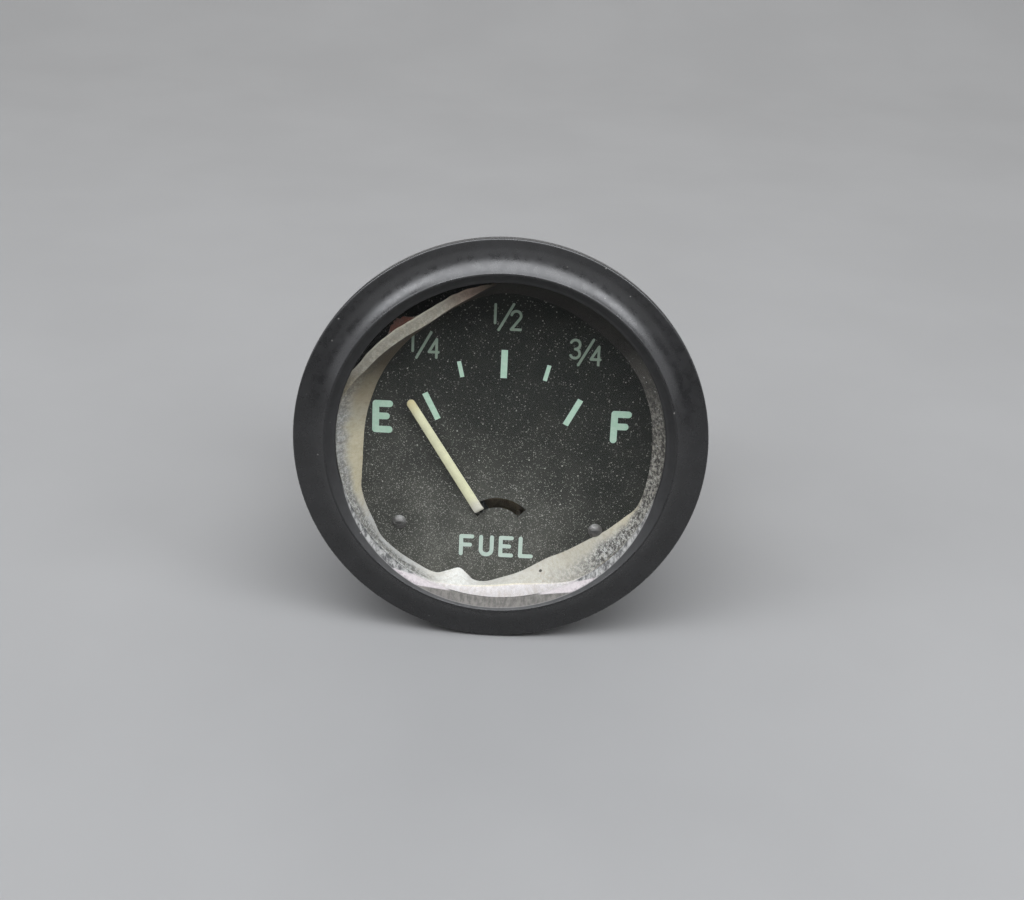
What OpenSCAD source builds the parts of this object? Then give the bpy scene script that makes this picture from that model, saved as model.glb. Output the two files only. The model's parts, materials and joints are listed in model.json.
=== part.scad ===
// Panel fuel gauge of the kind fitted in light aircraft, with a two-coil moving-iron movement.
// The face looks along -Y and +Z is up. The origin is the centre of the bezel's rear face,
// which seats on the panel, so everything behind the panel has a positive y.

/* [Bezel] */
// How far the bezel reaches out beyond the case
bezel_reach = 4.15; // [3.5:0.05:7]
// Height of the rim's front face over the seat
rim_h = 3.7; // [3.4:0.05:4]
// Thickness of the rim's edge
rim_t = 1.3; // [1:0.1:1.8]
// Width of the bevel on the rim's front edge
rim_bevel = 0.35; // [0.2:0.05:0.5]
// How far the rear of the rim tapers in towards the seat
rim_taper = 0.8; // [0.4:0.1:1]
// Radius of the hollow between the rim and the crest
hollow_r = 3.1; // [2.4:0.1:3.4]
// Slope of the crest's outer side over the rim's face
crest_slope = 53.5; // [48:0.5:58]
// Width of the slope from the lip out to the crest
crest_run = 1.5; // [1.2:0.1:1.8]
// Height of the crest in front of the lip
crest_rise = 1.3; // [1:0.1:2]
// Radius of the round on the crest
crest_round = 0.25; // [0.2:0.05:0.35]
// How far the lip reaches in over the wall of the case
lip_cover = 1.3; // [0.8:0.1:2]
// Thickness of the lip in front of the lens
lip_t = 0.6; // [0.4:0.1:1]
// Thickness of the edge turned in behind the case flange
turned_t = 0.8; // [0.6:0.1:1.2]

/* [Case] */
// Outside diameter of the case
case_d = 52; // [50.5:0.1:53]
// Wall of the drawn case
case_wall = 0.8; // [0.6:0.1:1.2]
// Depth of the case behind the panel seat
case_depth = 33; // [32:0.5:40]
// Thickness of the rear wall
rear_wall = 1; // [0.8:0.1:1.5]
// Round between the side and the rear wall
rear_round = 2; // [1:0.1:3]
// Length of the rear part of the case, which tapers
taper_run = 11; // [10:0.5:12]
// How much the radius of the case shrinks along the taper
taper_cut = 1.8; // [1:0.1:2.2]
// Width of the front flange
flange_w = 2.2; // [1.8:0.1:2.6]
// Thickness of the front flange
flange_t = 0.8; // [0.6:0.1:1.2]
// Depth of the shallow neck under the bezel
neck_cut = 0.4; // [0.3:0.05:0.5]
// Length of the neck behind the seat
neck_run = 0.4; // [0.3:0.1:0.8]

/* [Glass and well] */
// How far the lens reaches out over the case flange
lens_seat = 1; // [0.7:0.1:1.4]
// Thickness of the lens
lens_t = 1.4; // [1:0.1:2]
// Thickness of the lens gasket
gasket_t = 0.6; // [0.4:0.1:1]
// Wall of the spacer ring that stands on the dial
spacer_wall = 0.35; // [0.25:0.05:0.6]
// Thickness of the lining strip
strip_t = 0.4; // [0.2:0.05:0.6]
// Width of the strip's turned-out front edge
strip_flange = 1.4; // [0.8:0.1:2]
// Share of the photographed shrinkage of the strip
strip_sag = 1; // [0.4:0.1:1.05]

/* [Dial] */
// Depth of the dial's face behind the seat
dial_y = 1.4; // [1.2:0.1:2.4]
// Thickness of the dial
dial_t = 0.8; // [0.5:0.1:1.2]
// Distance of each dial screw from the middle
dial_screw_x = 14.8; // [14:0.1:15.4]
// Distance of the dial screws below the middle
dial_screw_drop = 14.35; // [13.8:0.05:14.8]
// Radius of a dial screw's head
dial_screw_head = 1.1; // [0.9:0.05:1.3]
// Height of a dial screw's domed head
dial_screw_dome = 0.6; // [0.4:0.05:0.7]
// Radius of a dial screw's shank
dial_screw_r = 0.7; // [0.5:0.05:0.8]
// Length of a dial screw's shank
dial_screw_run = 5; // [3:0.5:8]

/* [Markings] */
// Thickness of the paint
paint_t = 0.08; // [0.05:0.01:0.2]
// Angle of the scale from empty to half
scale_half = 27.6; // [25:0.1:29]
// Distance of the ends of the scale from the pivot, where the pointer reads
scale_r = 24.7; // [24:0.1:25.4]
// Length of the half mark
half_mark = 4.2; // [3.5:0.1:4.5]
// Width of the half mark
half_mark_w = 0.95; // [0.6:0.05:1.2]
// Length of the empty and full marks
end_mark = 4.4; // [3:0.1:4.8]
// Width of the empty and full marks
end_mark_w = 0.85; // [0.6:0.05:1.2]
// Length of a quarter mark
quarter_mark = 2.4; // [1.5:0.1:3]
// Width of a quarter mark
quarter_mark_w = 0.6; // [0.4:0.05:0.9]
// Distance of the quarter marks outside the reading circle
quarter_step = 0.6; // [0.3:0.1:1]
// Height of the end letters
letter_h = 4.95; // [4:0.05:5.2]
// Width of the end letters
letter_w = 3; // [2.4:0.05:3.2]
// Stroke of the end letters
letter_stroke = 1; // [0.6:0.05:1.1]
// Distance of the end letters from the middle
letter_x = 17.6; // [17.2:0.1:18]
// Height of the end letters above the middle
letter_z = 2.1; // [1:0.1:3]
// Height of a fraction's digits
digit_h = 3.1; // [2.5:0.1:3.3]
// Width of a fraction's digits
digit_w = 1.75; // [1.3:0.05:1.9]
// Stroke of the fractions
digit_stroke = 0.38; // [0.25:0.01:0.5]
// Distance of the quarter fractions from the middle
quarter_x = 11.8; // [11.4:0.1:12.2]
// Height of the quarter fractions above the middle
quarter_z = 13.2; // [13:0.1:13.8]
// Height of the half fraction above the middle
half_z = 17.9; // [17.5:0.1:18.5]
// Height of the word at the bottom
word_h = 3.4; // [2.8:0.1:3.6]
// Width of one letter of the word
word_letter = 2.25; // [1.8:0.05:2.4]
// Step from letter to letter of the word
word_step = 3; // [2.8:0.05:3.3]
// Stroke of the word
word_stroke = 0.6; // [0.4:0.05:0.7]
// Distance of the word below the middle
word_drop = 17.6; // [17.4:0.1:18]

/* [Pointer] */
// Distance of the pivot below the middle
pivot_drop = 15.9; // [15.4:0.1:16.2]
// Angle of the resting pointer left of the vertical
rest_angle = 33.2; // [31:0.1:34]
// Distance of the pointer's tip from the pivot
pointer_r = 25; // [22:0.1:26]
// Width of the pointer at its root
pointer_w = 1.5; // [1:0.05:1.8]
// Width of the pointer at its tip
pointer_tip_w = 1.25; // [0.8:0.05:1.4]
// Thickness of the pointer's strip
pointer_t = 0.4; // [0.3:0.05:0.5]
// Gap between the pointer and the dial, before and behind
pointer_gap = 0.8; // [0.6:0.05:0.9]
// Distance from the pivot to the pointer's bend
bend_r = 5.1; // [4.9:0.1:5.3]
// Inner radius of the arc slot in the dial
slot_r = 4.25; // [4:0.05:4.4]
// Width of the arc slot in the dial
slot_w = 1.8; // [1.6:0.05:2]
// Angle of free slot beyond the pointer at each end
slot_spare = 4; // [3:0.5:8]
// Width of the tail that carries the counterweight
tail_w = 1; // [0.8:0.05:1.2]
// Length of the tail
tail_r = 5; // [4.5:0.1:5.6]
// Radius of the counterweight
weight_r = 1.1; // [0.9:0.05:1.15]
// Length of the counterweight
weight_run = 2.6; // [1.5:0.1:2.8]

/* [Movement] */
// Radius of the pointer's staff
staff_r = 0.6; // [0.45:0.05:0.7]
// Radius of the hub's shoulder
hub_r = 2.1; // [1.9:0.05:2.3]
// Length of the hub's shoulder
hub_run = 1.1; // [0.8:0.1:1.4]
// Radius of the hub's spigot, which the pointer is pressed on
spigot_r = 1.3; // [1.1:0.05:1.5]
// Gap between the hub and the bearing bridge
hub_gap = 0.6; // [0.4:0.1:1]
// Thickness of the bearing bridge
bridge_t = 1; // [0.8:0.1:1.4]
// Distance of each bridge pillar from the pivot, sideways
bridge_x = 9; // [8.5:0.1:9.6]
// Distance of the bridge pillars below the pivot
bridge_drop = 2.5; // [1.5:0.1:3]
// Radius of a bearing bush
bush_r = 1.4; // [1.2:0.05:1.6]
// Radius of a bush's flange
bush_flange_r = 2.1; // [1.9:0.05:2.4]
// Thickness of a bush's flange
bush_flange_t = 0.4; // [0.3:0.05:0.5]
// Reach of the armature from the pivot
armature_r = 4.8; // [4:0.1:5]
// Width of the armature
armature_w = 3.2; // [2.4:0.1:3.6]
// Depth of the armature along the staff
armature_run = 6; // [4:0.1:7]
// Radius of the pillars that carry the dial and the bridge
pillar_r = 1.6; // [1.4:0.05:1.8]
// Radius of a stop pin
stop_r = 0.35; // [0.25:0.05:0.45]
// Distance of the stop pins from the pivot
stop_reach = 3.9; // [3.7:0.1:4.1]
// Play between the pointer's arm and a stop pin at the end of its travel
stop_play = 0.2; // [0.12:0.02:0.3]
// Thickness of the movement plate
plate_t = 1.2; // [0.8:0.1:1.6]
// Gap between the movement plate and the case
plate_gap = 2.2; // [1.8:0.1:2.4]
// Distance of each mounting post from the middle
post_x = 17.5; // [17:0.1:18]
// Height of the mounting posts above the middle
post_z = 7; // [6.5:0.1:8]
// Radius of a mounting post
post_r = 2.2; // [2:0.05:2.4]
// Radius of a small screw's shank
screw_r = 1.2; // [1:0.05:1.3]
// Radius of a small screw's head
screw_head = 2.3; // [2:0.05:2.5]
// Height of a small screw's head
screw_head_h = 1.4; // [1:0.1:1.8]
// Length of a small screw's shank
screw_run = 6; // [4:0.5:8]
// Width of a screw's driver slot
driver_slot = 0.5; // [0.3:0.05:0.6]

/* [Coils] */
// Lean of each coil from the vertical
coil_angle = 42; // [41:0.5:46]
// Distance from the pivot to the pole shoe
pole_reach = 5.6; // [5.5:0.1:6]
// Radius of a pole shoe
pole_r = 3; // [2.4:0.1:3.4]
// Thickness of a pole shoe
pole_t = 1.6; // [1:0.1:2]
// Radius of an iron core
core_r = 1.8; // [1.4:0.05:2.1]
// Length of a coil bobbin
bobbin_run = 13; // [10:0.5:14]
// Radius of a bobbin's flanges
bobbin_r = 5.2; // [4.6:0.1:5.4]
// Thickness of a bobbin's flanges
bobbin_flange = 0.8; // [0.5:0.1:1.2]
// Wall of a bobbin's tube
bobbin_wall = 0.5; // [0.4:0.05:0.8]
// How far a bobbin's flanges stand out over its winding
winding_inset = 0.5; // [0.3:0.1:1]
// Thickness of a core bracket
bracket_t = 1.5; // [1:0.1:2]
// Width of a core bracket
bracket_w = 8; // [6:0.5:9]
// Length of a core bracket's foot
bracket_foot = 4; // [3:0.5:5]
// Radius of a lead wire
lead_r = 0.45; // [0.35:0.05:0.6]
// Radius of the hole that a lead wire passes through
lead_hole_r = 1.6; // [1.4:0.1:2]

/* [Terminals] */
// Distance of each terminal from the middle
terminal_z = 12.5; // [12:0.1:13]
// Radius of a terminal's threaded end
terminal_r = 2.08; // [1.9:0.01:2.2]
// Relief of the shank under the nut
terminal_relief = 0.2; // [0.18:0.01:0.3]
// Length of a terminal's threaded end
terminal_run = 9; // [7:0.5:14]
// Radius of a terminal's inner head
terminal_head_r = 4; // [3.5:0.1:4.5]
// Thickness of a terminal's inner head
terminal_head_t = 1.6; // [1:0.1:2]
// Radius of the insulating bush's neck
insulator_neck = 3.2; // [2.8:0.1:3.5]
// Radius of the insulators
insulator_r = 5.4; // [4.8:0.1:5.8]
// Thickness of the insulators
insulator_t = 1.2; // [0.8:0.1:1.6]
// Radius of a terminal's washer
washer_r = 4.6; // [4.2:0.1:5]
// Thickness of a terminal's washer
washer_t = 0.7; // [0.5:0.1:1]
// Width across the corners of a terminal nut
nut_corners = 9.6; // [8.5:0.1:10]
// Height of a terminal nut
nut_h = 3; // [2.4:0.1:3.6]

/* [Clamp] */
// Distance of each clamp stud from the middle
stud_x = 13.5; // [13:0.1:14]
// Radius of a clamp stud
stud_r = 2.08; // [1.9:0.01:2.2]
// Radius of a clamp stud's inner head
stud_head_r = 3.5; // [3:0.1:3.8]
// Thickness of a clamp stud's inner head
stud_head_t = 1; // [0.8:0.1:1.4]
// Length of stud left beyond the nut at rest
stud_spare = 4; // [3.6:0.1:8]
// Thickness of the panel that the clamp is set for
panel_t = 3; // [2.5:0.1:5]
// Thickness of the clamp's strap
strap_t = 1.5; // [1.2:0.1:1.8]
// Width of the clamp's strap
strap_w = 11; // [9:0.5:12]
// Gap between the case and the clamp's legs
leg_gap = 1; // [0.9:0.1:1.4]
// Gap between the case and the clamp's cross strap
bow_gap = 8.5; // [8:0.5:12]
// Round on the bends of the strap
strap_round = 2; // [1.6:0.1:3]
// Radius of a clamp washer
clamp_washer_r = 4.4; // [4:0.1:5]
// Thickness of a clamp washer
clamp_washer_t = 0.8; // [0.6:0.1:1.2]
// Radius of a thumb nut over its knurling
thumb_r = 5; // [4.6:0.1:5.6]
// Depth of the knurling
knurl_cut = 0.35; // [0.2:0.05:0.45]
// Ridges of the knurling
knurl_count = 28; // [20:1:36]
// Height of a thumb nut's knurled part
thumb_h = 4; // [3:0.5:6]
// Radius of a thumb nut's collar
collar_r = 3.9; // [3.5:0.1:4.2]
// Height of a thumb nut's collar
collar_h = 2; // [1:0.5:3]

/* [Fits] */
// Radial gap of a pressed or screwed fit
fit = 0.03; // [0.02:0.01:0.05]
// Radial gap of a running fit
running = 0.05; // [0.02:0.01:0.08]
// Radial gap of a clearance hole
loose = 0.2; // [0.15:0.05:0.3]

/* [Hidden] */
$fn = 64;
SIDES = [-1, 1];

// Radii that follow from the case
case_r = case_d / 2;
bezel_r = case_r + bezel_reach;
bore_r = case_r - case_wall;
neck_r = case_r - neck_cut;
flange_r = case_r + flange_w;
lens_r = bore_r + lens_seat;
lip_r = bore_r - lip_cover;
crest_r = lip_r + crest_run;
dial_r = bore_r - loose;
spacer_r = bore_r - loose / 2;
well_r = spacer_r - spacer_wall;
plate_r = bore_r - plate_gap;

// The face and the places behind it are drawn for this radius of the dial, and grow with the dial
drawn_dial_r = 25;
face = dial_r / drawn_dial_r;
dial_screw_px = face * dial_screw_x;
dial_screw_pd = face * dial_screw_drop;
bridge_px = face * bridge_x;
bridge_pd = face * bridge_drop;
post_px = face * post_x;
post_pz = face * post_z;
terminal_pz = face * terminal_z;
stud_px = face * stud_x;

// Heights in front of the seat
flange_h = turned_t + flange_t;
lens_back_h = flange_h + gasket_t;
lens_front_h = lens_back_h + lens_t;
lip_h = lens_front_h + lip_t;
crest_h = lip_h + crest_rise;

// Depths behind the seat
pivot_z = -face * pivot_drop;
dial_back = dial_y + dial_t;
pointer_y = dial_y - pointer_gap - pointer_t;
arm_spare = 0.5;
arm_y = dial_back + pointer_gap + arm_spare;
arm_back = arm_y + pointer_t;
hub_back = arm_back + hub_run;
bridge_y = hub_back + hub_gap;
bridge_back = bridge_y + bridge_t;
coil_gap = 0.4;
coil_y = bridge_back + coil_gap + bobbin_r;
plate_y = coil_y + bobbin_r + coil_gap;
plate_back = plate_y + plate_t;
rear_in = case_depth - rear_wall;
rear_out = case_depth;
taper_y = rear_out - taper_run;

// Holes in the movement plate for the leads
lead_hole_out = 9.5;
lead_hole_up = 11;
lead_hole_x = face * lead_hole_out;
lead_hole_z = face * lead_hole_up;

// Places along each coil, measured from the pivot
bobbin_start = pole_reach + pole_t + coil_gap;
bobbin_end = bobbin_start + bobbin_run;
bracket_start = bobbin_end + coil_gap;
bracket_end = bracket_start + bracket_t;

// Stop pins, measured from the pivot
stop_lean = rest_angle + asin((pointer_w / 2 + stop_r + stop_play) / stop_reach);
stop_x = stop_reach * sin(stop_lean);
stop_z = stop_reach * cos(stop_lean);

// Terminal stack on the rear wall
insulator_end = rear_out + insulator_t;
washer_end = insulator_end + washer_t;
nut_end = washer_end + nut_h;
terminal_relief_run = 0.5;
thread_start = nut_end + terminal_relief_run;
terminal_end = thread_start + terminal_run;

// Clamp stack
leg_x = case_r + leg_gap;
bow_y = rear_out + bow_gap;
bow_back = bow_y + strap_t;
clamp_washer_end = bow_back + clamp_washer_t;
collar_end = clamp_washer_end + collar_h;
thumb_end = collar_end + thumb_h;
stud_end = thumb_end + stud_spare;

// A solid of revolution about the gauge's axis, drawn as radius and depth
module turned() rotate([-90, 0, 0]) rotate_extrude() children();

// A plate from depth y to y + t, drawn as x and z
module plate(y, t) translate([0, y + t, 0]) rotate([90, 0, 0]) linear_extrude(t) children();

// A round bar along the gauge's axis from depth y0 to y1
module bar(x, z, y0, y1, r) translate([x, y0, z]) rotate([-90, 0, 0]) cylinder(h = y1 - y0, r = r);

// A washer or tube along the gauge's axis
module tube(x, z, y0, y1, r, hole) difference() {
    bar(x, z, y0, y1, r);
    bar(x, z, y0 - 1, y1 + 1, hole);
}

// Turns with the pointer about the pivot, with z along the pointer
module pointing() translate([0, 0, pivot_z]) rotate([0, -rest_angle, 0]) children();

// Lies along one coil, with z along its core
module along_coil(side) translate([0, coil_y, pivot_z]) rotate([0, side * coil_angle, 0]) children();

// A slotted screw whose head stands in front of depth y and whose shank runs behind it
module slotted_screw(x, z, y, head_r, head_h, shank_r, run) difference() {
    union() {
        bar(x, z, y - head_h, y, head_r);
        bar(x, z, y, y + run, shank_r);
    }
    translate([x - head_r - 1, y - head_h - 1, z - driver_slot / 2])
        cube([2 * head_r + 2, 1 + head_h / 2, driver_slot]);
}

// Bezel: a ring with a raised crest that flares out to its rim, a lip over the lens and an edge turned in behind the case
module bezel_section() {
    rim_point = [bezel_r - rim_bevel, -rim_h];
    crest_mid = [crest_r, -crest_h + crest_round];
    crest_edge = crest_mid + crest_round * [sin(crest_slope), -cos(crest_slope)];
    down = [cos(crest_slope), sin(crest_slope)];
    foot = crest_edge + (-rim_h - crest_edge[1]) / down[1] * down;
    spread = hollow_r * tan(crest_slope / 2);
    hole_r = case_r + running;
    lens_pocket = lens_r + loose;
    flange_pocket = flange_r + loose;
    difference() {
        union() {
            polygon([[lip_r, -lens_front_h], [lip_r, -lip_h + lip_t / 3], [lip_r + lip_t / 3, -lip_h],
                     crest_mid - [crest_round, 0], crest_mid, crest_edge, foot, rim_point,
                     rim_point + [rim_bevel, rim_bevel], [bezel_r, -rim_h + rim_t], [bezel_r - rim_taper, 0],
                     [hole_r, 0]]);
            translate(crest_mid) circle(r = crest_round);
            difference() {
                polygon([foot - spread * down, foot + [spread, 0], foot + [0, rim_h / 4]]);
                translate(foot + [spread, -hollow_r]) circle(r = hollow_r);
            }
        }
        translate([0, -lens_front_h]) square([lens_pocket, lens_front_h - flange_h + flange_t / 2]);
        translate([0, -flange_h]) square([flange_pocket, flange_t]);
        translate([0, -turned_t - 1]) square([hole_r, turned_t + 2]);
    }
}

module bezel() color("#1b1c1e") turned() bezel_section();

module lens() color("#dfe8e6", 0.35) bar(0, 0, -lens_front_h, -lens_back_h, lens_r);

module lens_gasket() color("#3a332d") tube(0, 0, -lens_back_h, -flange_h, lens_r, bore_r + loose / 2);

module spacer_ring() color("#8d8c85") tube(0, 0, -lens_back_h, dial_y, spacer_r, well_r);

// Lining strip: shrunken, so that it leaves the wall of the well in long sags.
// Each sag is the angle of its middle clockwise from the top, half its spread, and its depth as a share of the
// well's radius.
front_sags = [[175, 34, 0.077], [322, 42, 0.158]];
back_sags = [[62, 62, 0.093], [155, 36, 0.145], [296, 76, 0.182]];
strip_stations = 72;
strip_lift = 0.1;
function turn_gap(a, b) = abs((a - b + 540) % 360 - 180);
function sag(angle, s) = turn_gap(angle, s[0]) < s[1] ? s[2] * (1 + cos(180 * turn_gap(angle, s[0]) / s[1])) / 2 : 0;
function sagged(angle, sags, i = 0) = i == len(sags) ? 0 : sag(angle, sags[i]) + sagged(angle, sags, i + 1);
function strip_r(angle, sags) = well_r - loose - strip_t - strip_sag * well_r * sagged(angle, sags);
function on_ring(angle, r, y) = [r * sin(angle), y, r * cos(angle)];
function strip_ring(angle) =
    let (front = strip_r(angle, front_sags), back = strip_r(angle, back_sags), y0 = -lens_back_h + strip_lift,
         outer = min(front + strip_flange, well_r - loose))
    [on_ring(angle, back, dial_y), on_ring(angle, front, y0), on_ring(angle, outer, y0),
     on_ring(angle, outer, y0 + strip_t), on_ring(angle, front + strip_t, y0 + strip_t),
     on_ring(angle, back + strip_t, dial_y)];

module lining_strip() {
    sides = 6;
    points = [for (i = [0:strip_stations - 1]) each strip_ring(i * 360 / strip_stations)];
    function at(i, k) = (i % strip_stations) * sides + k % sides;
    faces = [for (i = [0:strip_stations - 1], k = [0:sides - 1])
             each [[at(i, k), at(i, k + 1), at(i + 1, k)], [at(i, k + 1), at(i + 1, k + 1), at(i + 1, k)]]];
    color("#cfc6ae") polyhedron(points, faces);
}

// Dial
module slot_outline() {
    spread = rest_angle + asin(pointer_w / 2 / bend_r) + slot_spare;
    far = 3 * (slot_r + slot_w);
    translate([0, pivot_z]) intersection() {
        difference() {
            circle(r = slot_r + slot_w);
            circle(r = slot_r);
        }
        polygon([[0, 0], far * [-sin(spread), cos(spread)], far * [0, 1], far * [sin(spread), cos(spread)]]);
    }
}

module dial() color("#1d1f1d") difference() {
    bar(0, 0, dial_y, dial_back, dial_r);
    plate(dial_y - 1, dial_t + 2) slot_outline();
    for (side = SIDES)
        bar(side * dial_screw_px, -dial_screw_pd, dial_y - 1, dial_back + 1, dial_screw_r + loose);
}

module dial_screws() color("#26241f") for (side = SIDES) translate([side * dial_screw_px, 0, -dial_screw_pd]) {
    dome = (dial_screw_head * dial_screw_head + dial_screw_dome * dial_screw_dome) / (2 * dial_screw_dome);
    difference() {
        union() {
            intersection() {
                translate([0, dial_y - dial_screw_dome + dome, 0]) sphere(r = dome);
                bar(0, 0, dial_y - 2 * dial_screw_dome, dial_y, dial_screw_head);
            }
            bar(0, 0, dial_y, dial_back + dial_screw_run, dial_screw_r);
        }
        translate([-dial_screw_head - 1, dial_y - 1.5 * dial_screw_dome, -driver_slot / 3])
            cube([2 * dial_screw_head + 2, dial_screw_dome, driver_slot * 2 / 3]);
    }
}

// Strokes of paint, drawn as x and z
module stroke(a, b, w) {
    d = b - a;
    translate(a) circle(d = w);
    translate(b) circle(d = w);
    translate(a) rotate(atan2(d[1], d[0])) translate([0, -w / 2]) square([norm(d), w]);
}

module arc_stroke(c, r, a0, a1, w) {
    step = (a1 - a0) / 4;
    far = 4 * r;
    translate(c) {
        intersection() {
            difference() {
                circle(r = r + w / 2);
                circle(r = r - w / 2);
            }
            polygon([[0, 0], for (i = [0:4]) far * [cos(a0 + i * step), sin(a0 + i * step)]]);
        }
        for (a = [a0, a1]) translate(r * [cos(a), sin(a)]) circle(d = w);
    }
}

// Glyphs in a box of width w and height h, with the stroke s inside the box
module bars(w, h, s, heights, reach) {
    stroke([s / 2, s / 2], [s / 2, h - s / 2], s);
    for (i = [0:len(heights) - 1])
        stroke([s / 2, s / 2 + heights[i] * (h - s)], [s / 2 + reach[i] * (w - s), s / 2 + heights[i] * (h - s)], s);
}
module letter_e(w, h, s) bars(w, h, s, [0, 0.52, 1], [1, 0.78, 1]);
module letter_f(w, h, s) bars(w, h, s, [0.52, 1], [0.82, 1]);
module letter_l(w, h, s) bars(w, h, s, [0], [1]);
module letter_u(w, h, s) {
    r = (w - s) / 2;
    for (x = [s / 2, w - s / 2]) stroke([x, w / 2], [x, h - s / 2], s);
    arc_stroke([w / 2, w / 2], r, 180, 360, s);
}
module digit_1(w, h, s) stroke([w / 2, s / 2], [w / 2, h - s / 2], s);
module digit_2(w, h, s) {
    r = (w - s) / 2;
    turn = -35;
    arc_stroke([w / 2, h - w / 2], r, turn, 170, s);
    stroke([w / 2, h - w / 2] + r * [cos(turn), sin(turn)], [s / 2, s / 2], s);
    stroke([s / 2, s / 2], [w - s / 2, s / 2], s);
}
module digit_3(w, h, s) {
    r = (h - s) / 4;
    arc_stroke([w / 2, h - s / 2 - r], r, -90, 155, s);
    arc_stroke([w / 2, s / 2 + r], r, -155, 90, s);
}
module digit_4(w, h, s) {
    stem = w * 0.74;
    cross = h * 0.32;
    stroke([stem, s / 2], [stem, h - s / 2], s);
    stroke([stem, h - s / 2], [s / 2, cross], s);
    stroke([s / 2, cross], [w - s / 2, cross], s);
}
module fraction(x, z) {
    slant = [digit_w * 0.59, digit_h * 0.62];
    over = [digit_w * 1.41, -digit_h * 0.36];
    under = [digit_w * 0.33, -digit_h * 0.64];
    translate([x, z]) {
        stroke(-slant, slant, digit_stroke);
        translate([-over[0], over[1]]) children(0);
        translate(under) children(1);
    }
}
module mark(angle, r0, r1, w) translate([0, -pivot_drop]) rotate(-angle) translate([-w / 2, r0]) square([w, r1 - r0]);

module dial_markings() color("#a9cdb6") plate(dial_y - paint_t, paint_t) scale([face, face]) {
    mark(0, scale_r, scale_r + half_mark, half_mark_w);
    for (side = SIDES) {
        mark(side * scale_half, scale_r - end_mark, scale_r, end_mark_w);
        mark(side * scale_half / 2, scale_r + quarter_step, scale_r + quarter_step + quarter_mark, quarter_mark_w);
    }
    translate([-letter_x - letter_w / 2, letter_z - letter_h / 2]) letter_e(letter_w, letter_h, letter_stroke);
    translate([letter_x - letter_w / 2, letter_z - letter_h / 2]) letter_f(letter_w, letter_h, letter_stroke);
    fraction(-quarter_x, quarter_z) {
        digit_1(digit_w, digit_h, digit_stroke);
        digit_4(digit_w, digit_h, digit_stroke);
    }
    fraction(0, half_z) {
        digit_1(digit_w, digit_h, digit_stroke);
        digit_2(digit_w, digit_h, digit_stroke);
    }
    fraction(quarter_x, quarter_z) {
        digit_3(digit_w, digit_h, digit_stroke);
        digit_4(digit_w, digit_h, digit_stroke);
    }
    translate([-1.5 * word_step - word_letter / 2, -word_drop - word_h / 2]) {
        letter_f(word_letter, word_h, word_stroke);
        translate([word_step, 0]) letter_u(word_letter, word_h, word_stroke);
        translate([2 * word_step, 0]) letter_e(word_letter, word_h, word_stroke);
        translate([3 * word_step, 0]) letter_l(word_letter, word_h, word_stroke);
    }
}

// Frame of the movement
module dial_pillars() color("#b8964f") for (side = SIDES) difference() {
    bar(side * dial_screw_px, -dial_screw_pd, dial_back, plate_y, pillar_r);
    bar(side * dial_screw_px, -dial_screw_pd, dial_back - 1, dial_back + dial_screw_run + 1, dial_screw_r + fit);
}

module movement_plate() color("#b8964f") difference() {
    bar(0, 0, plate_y, plate_back, plate_r);
    bar(0, pivot_z, plate_y - 1, plate_back + 1, bush_r + fit);
    for (side = SIDES) bar(side * lead_hole_x, lead_hole_z, plate_y - 1, plate_back + 1, lead_hole_r);
}

module bearing_bridge() color("#c2a25c") difference() {
    plate(bridge_y, bridge_t) translate([0, pivot_z]) {
        ear_rim = 0.6;
        ear = pillar_r + ear_rim;
        for (side = SIDES) {
            translate([side * bridge_px, -bridge_pd]) circle(r = ear);
            translate([side * stop_x, stop_z]) circle(r = ear);
        }
        polygon([[-bridge_px, -bridge_pd - ear], [bridge_px, -bridge_pd - ear], [bridge_px + ear, -bridge_pd],
                 [stop_x + ear, stop_z], [stop_x, stop_z + ear], [-stop_x, stop_z + ear], [-stop_x - ear, stop_z],
                 [-bridge_px - ear, -bridge_pd]]);
    }
    bar(0, pivot_z, bridge_y - 1, bridge_back + 1, bush_r + fit);
    for (side = SIDES) {
        bar(side * bridge_px, pivot_z - bridge_pd, bridge_y - 1, bridge_back + 1, dial_screw_r + loose);
        bar(side * stop_x, pivot_z + stop_z, bridge_y - 1, bridge_back + 1, stop_r + fit);
    }
}

module bridge_pillars() color("#b8964f") for (side = SIDES) difference() {
    bar(side * bridge_px, pivot_z - bridge_pd, bridge_back, plate_y, pillar_r);
    bar(side * bridge_px, pivot_z - bridge_pd, bridge_back - 1, bridge_back + dial_screw_run + 1,
        dial_screw_r + fit);
}

module bridge_screws() color("#9a958a") for (side = SIDES)
    slotted_screw(side * bridge_px, pivot_z - bridge_pd, bridge_y, pillar_r, screw_head_h / 2, dial_screw_r,
                  bridge_t + dial_screw_run);

// Stop pins: the arm of the pointer meets one at each end of its travel
module stop_pins() color("#c9c4b6") for (side = SIDES)
    bar(side * stop_x, pivot_z + stop_z, arm_y - stop_play, bridge_back, stop_r);

// A flanged bearing bush for the staff, with its flange on the side of the armature
module bearing(y0, y1, flange_y) color("#d0aa52") difference() {
    union() {
        bar(0, pivot_z, y0, y1, bush_r);
        bar(0, pivot_z, flange_y, flange_y + bush_flange_t, bush_flange_r);
    }
    bar(0, pivot_z, y0 - 1, y1 + 1, staff_r + running);
}
module front_bearing() bearing(bridge_y, bridge_back + bush_flange_t, bridge_back);
module rear_bearing() bearing(plate_y - bush_flange_t, plate_back, plate_y - bush_flange_t);

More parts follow.
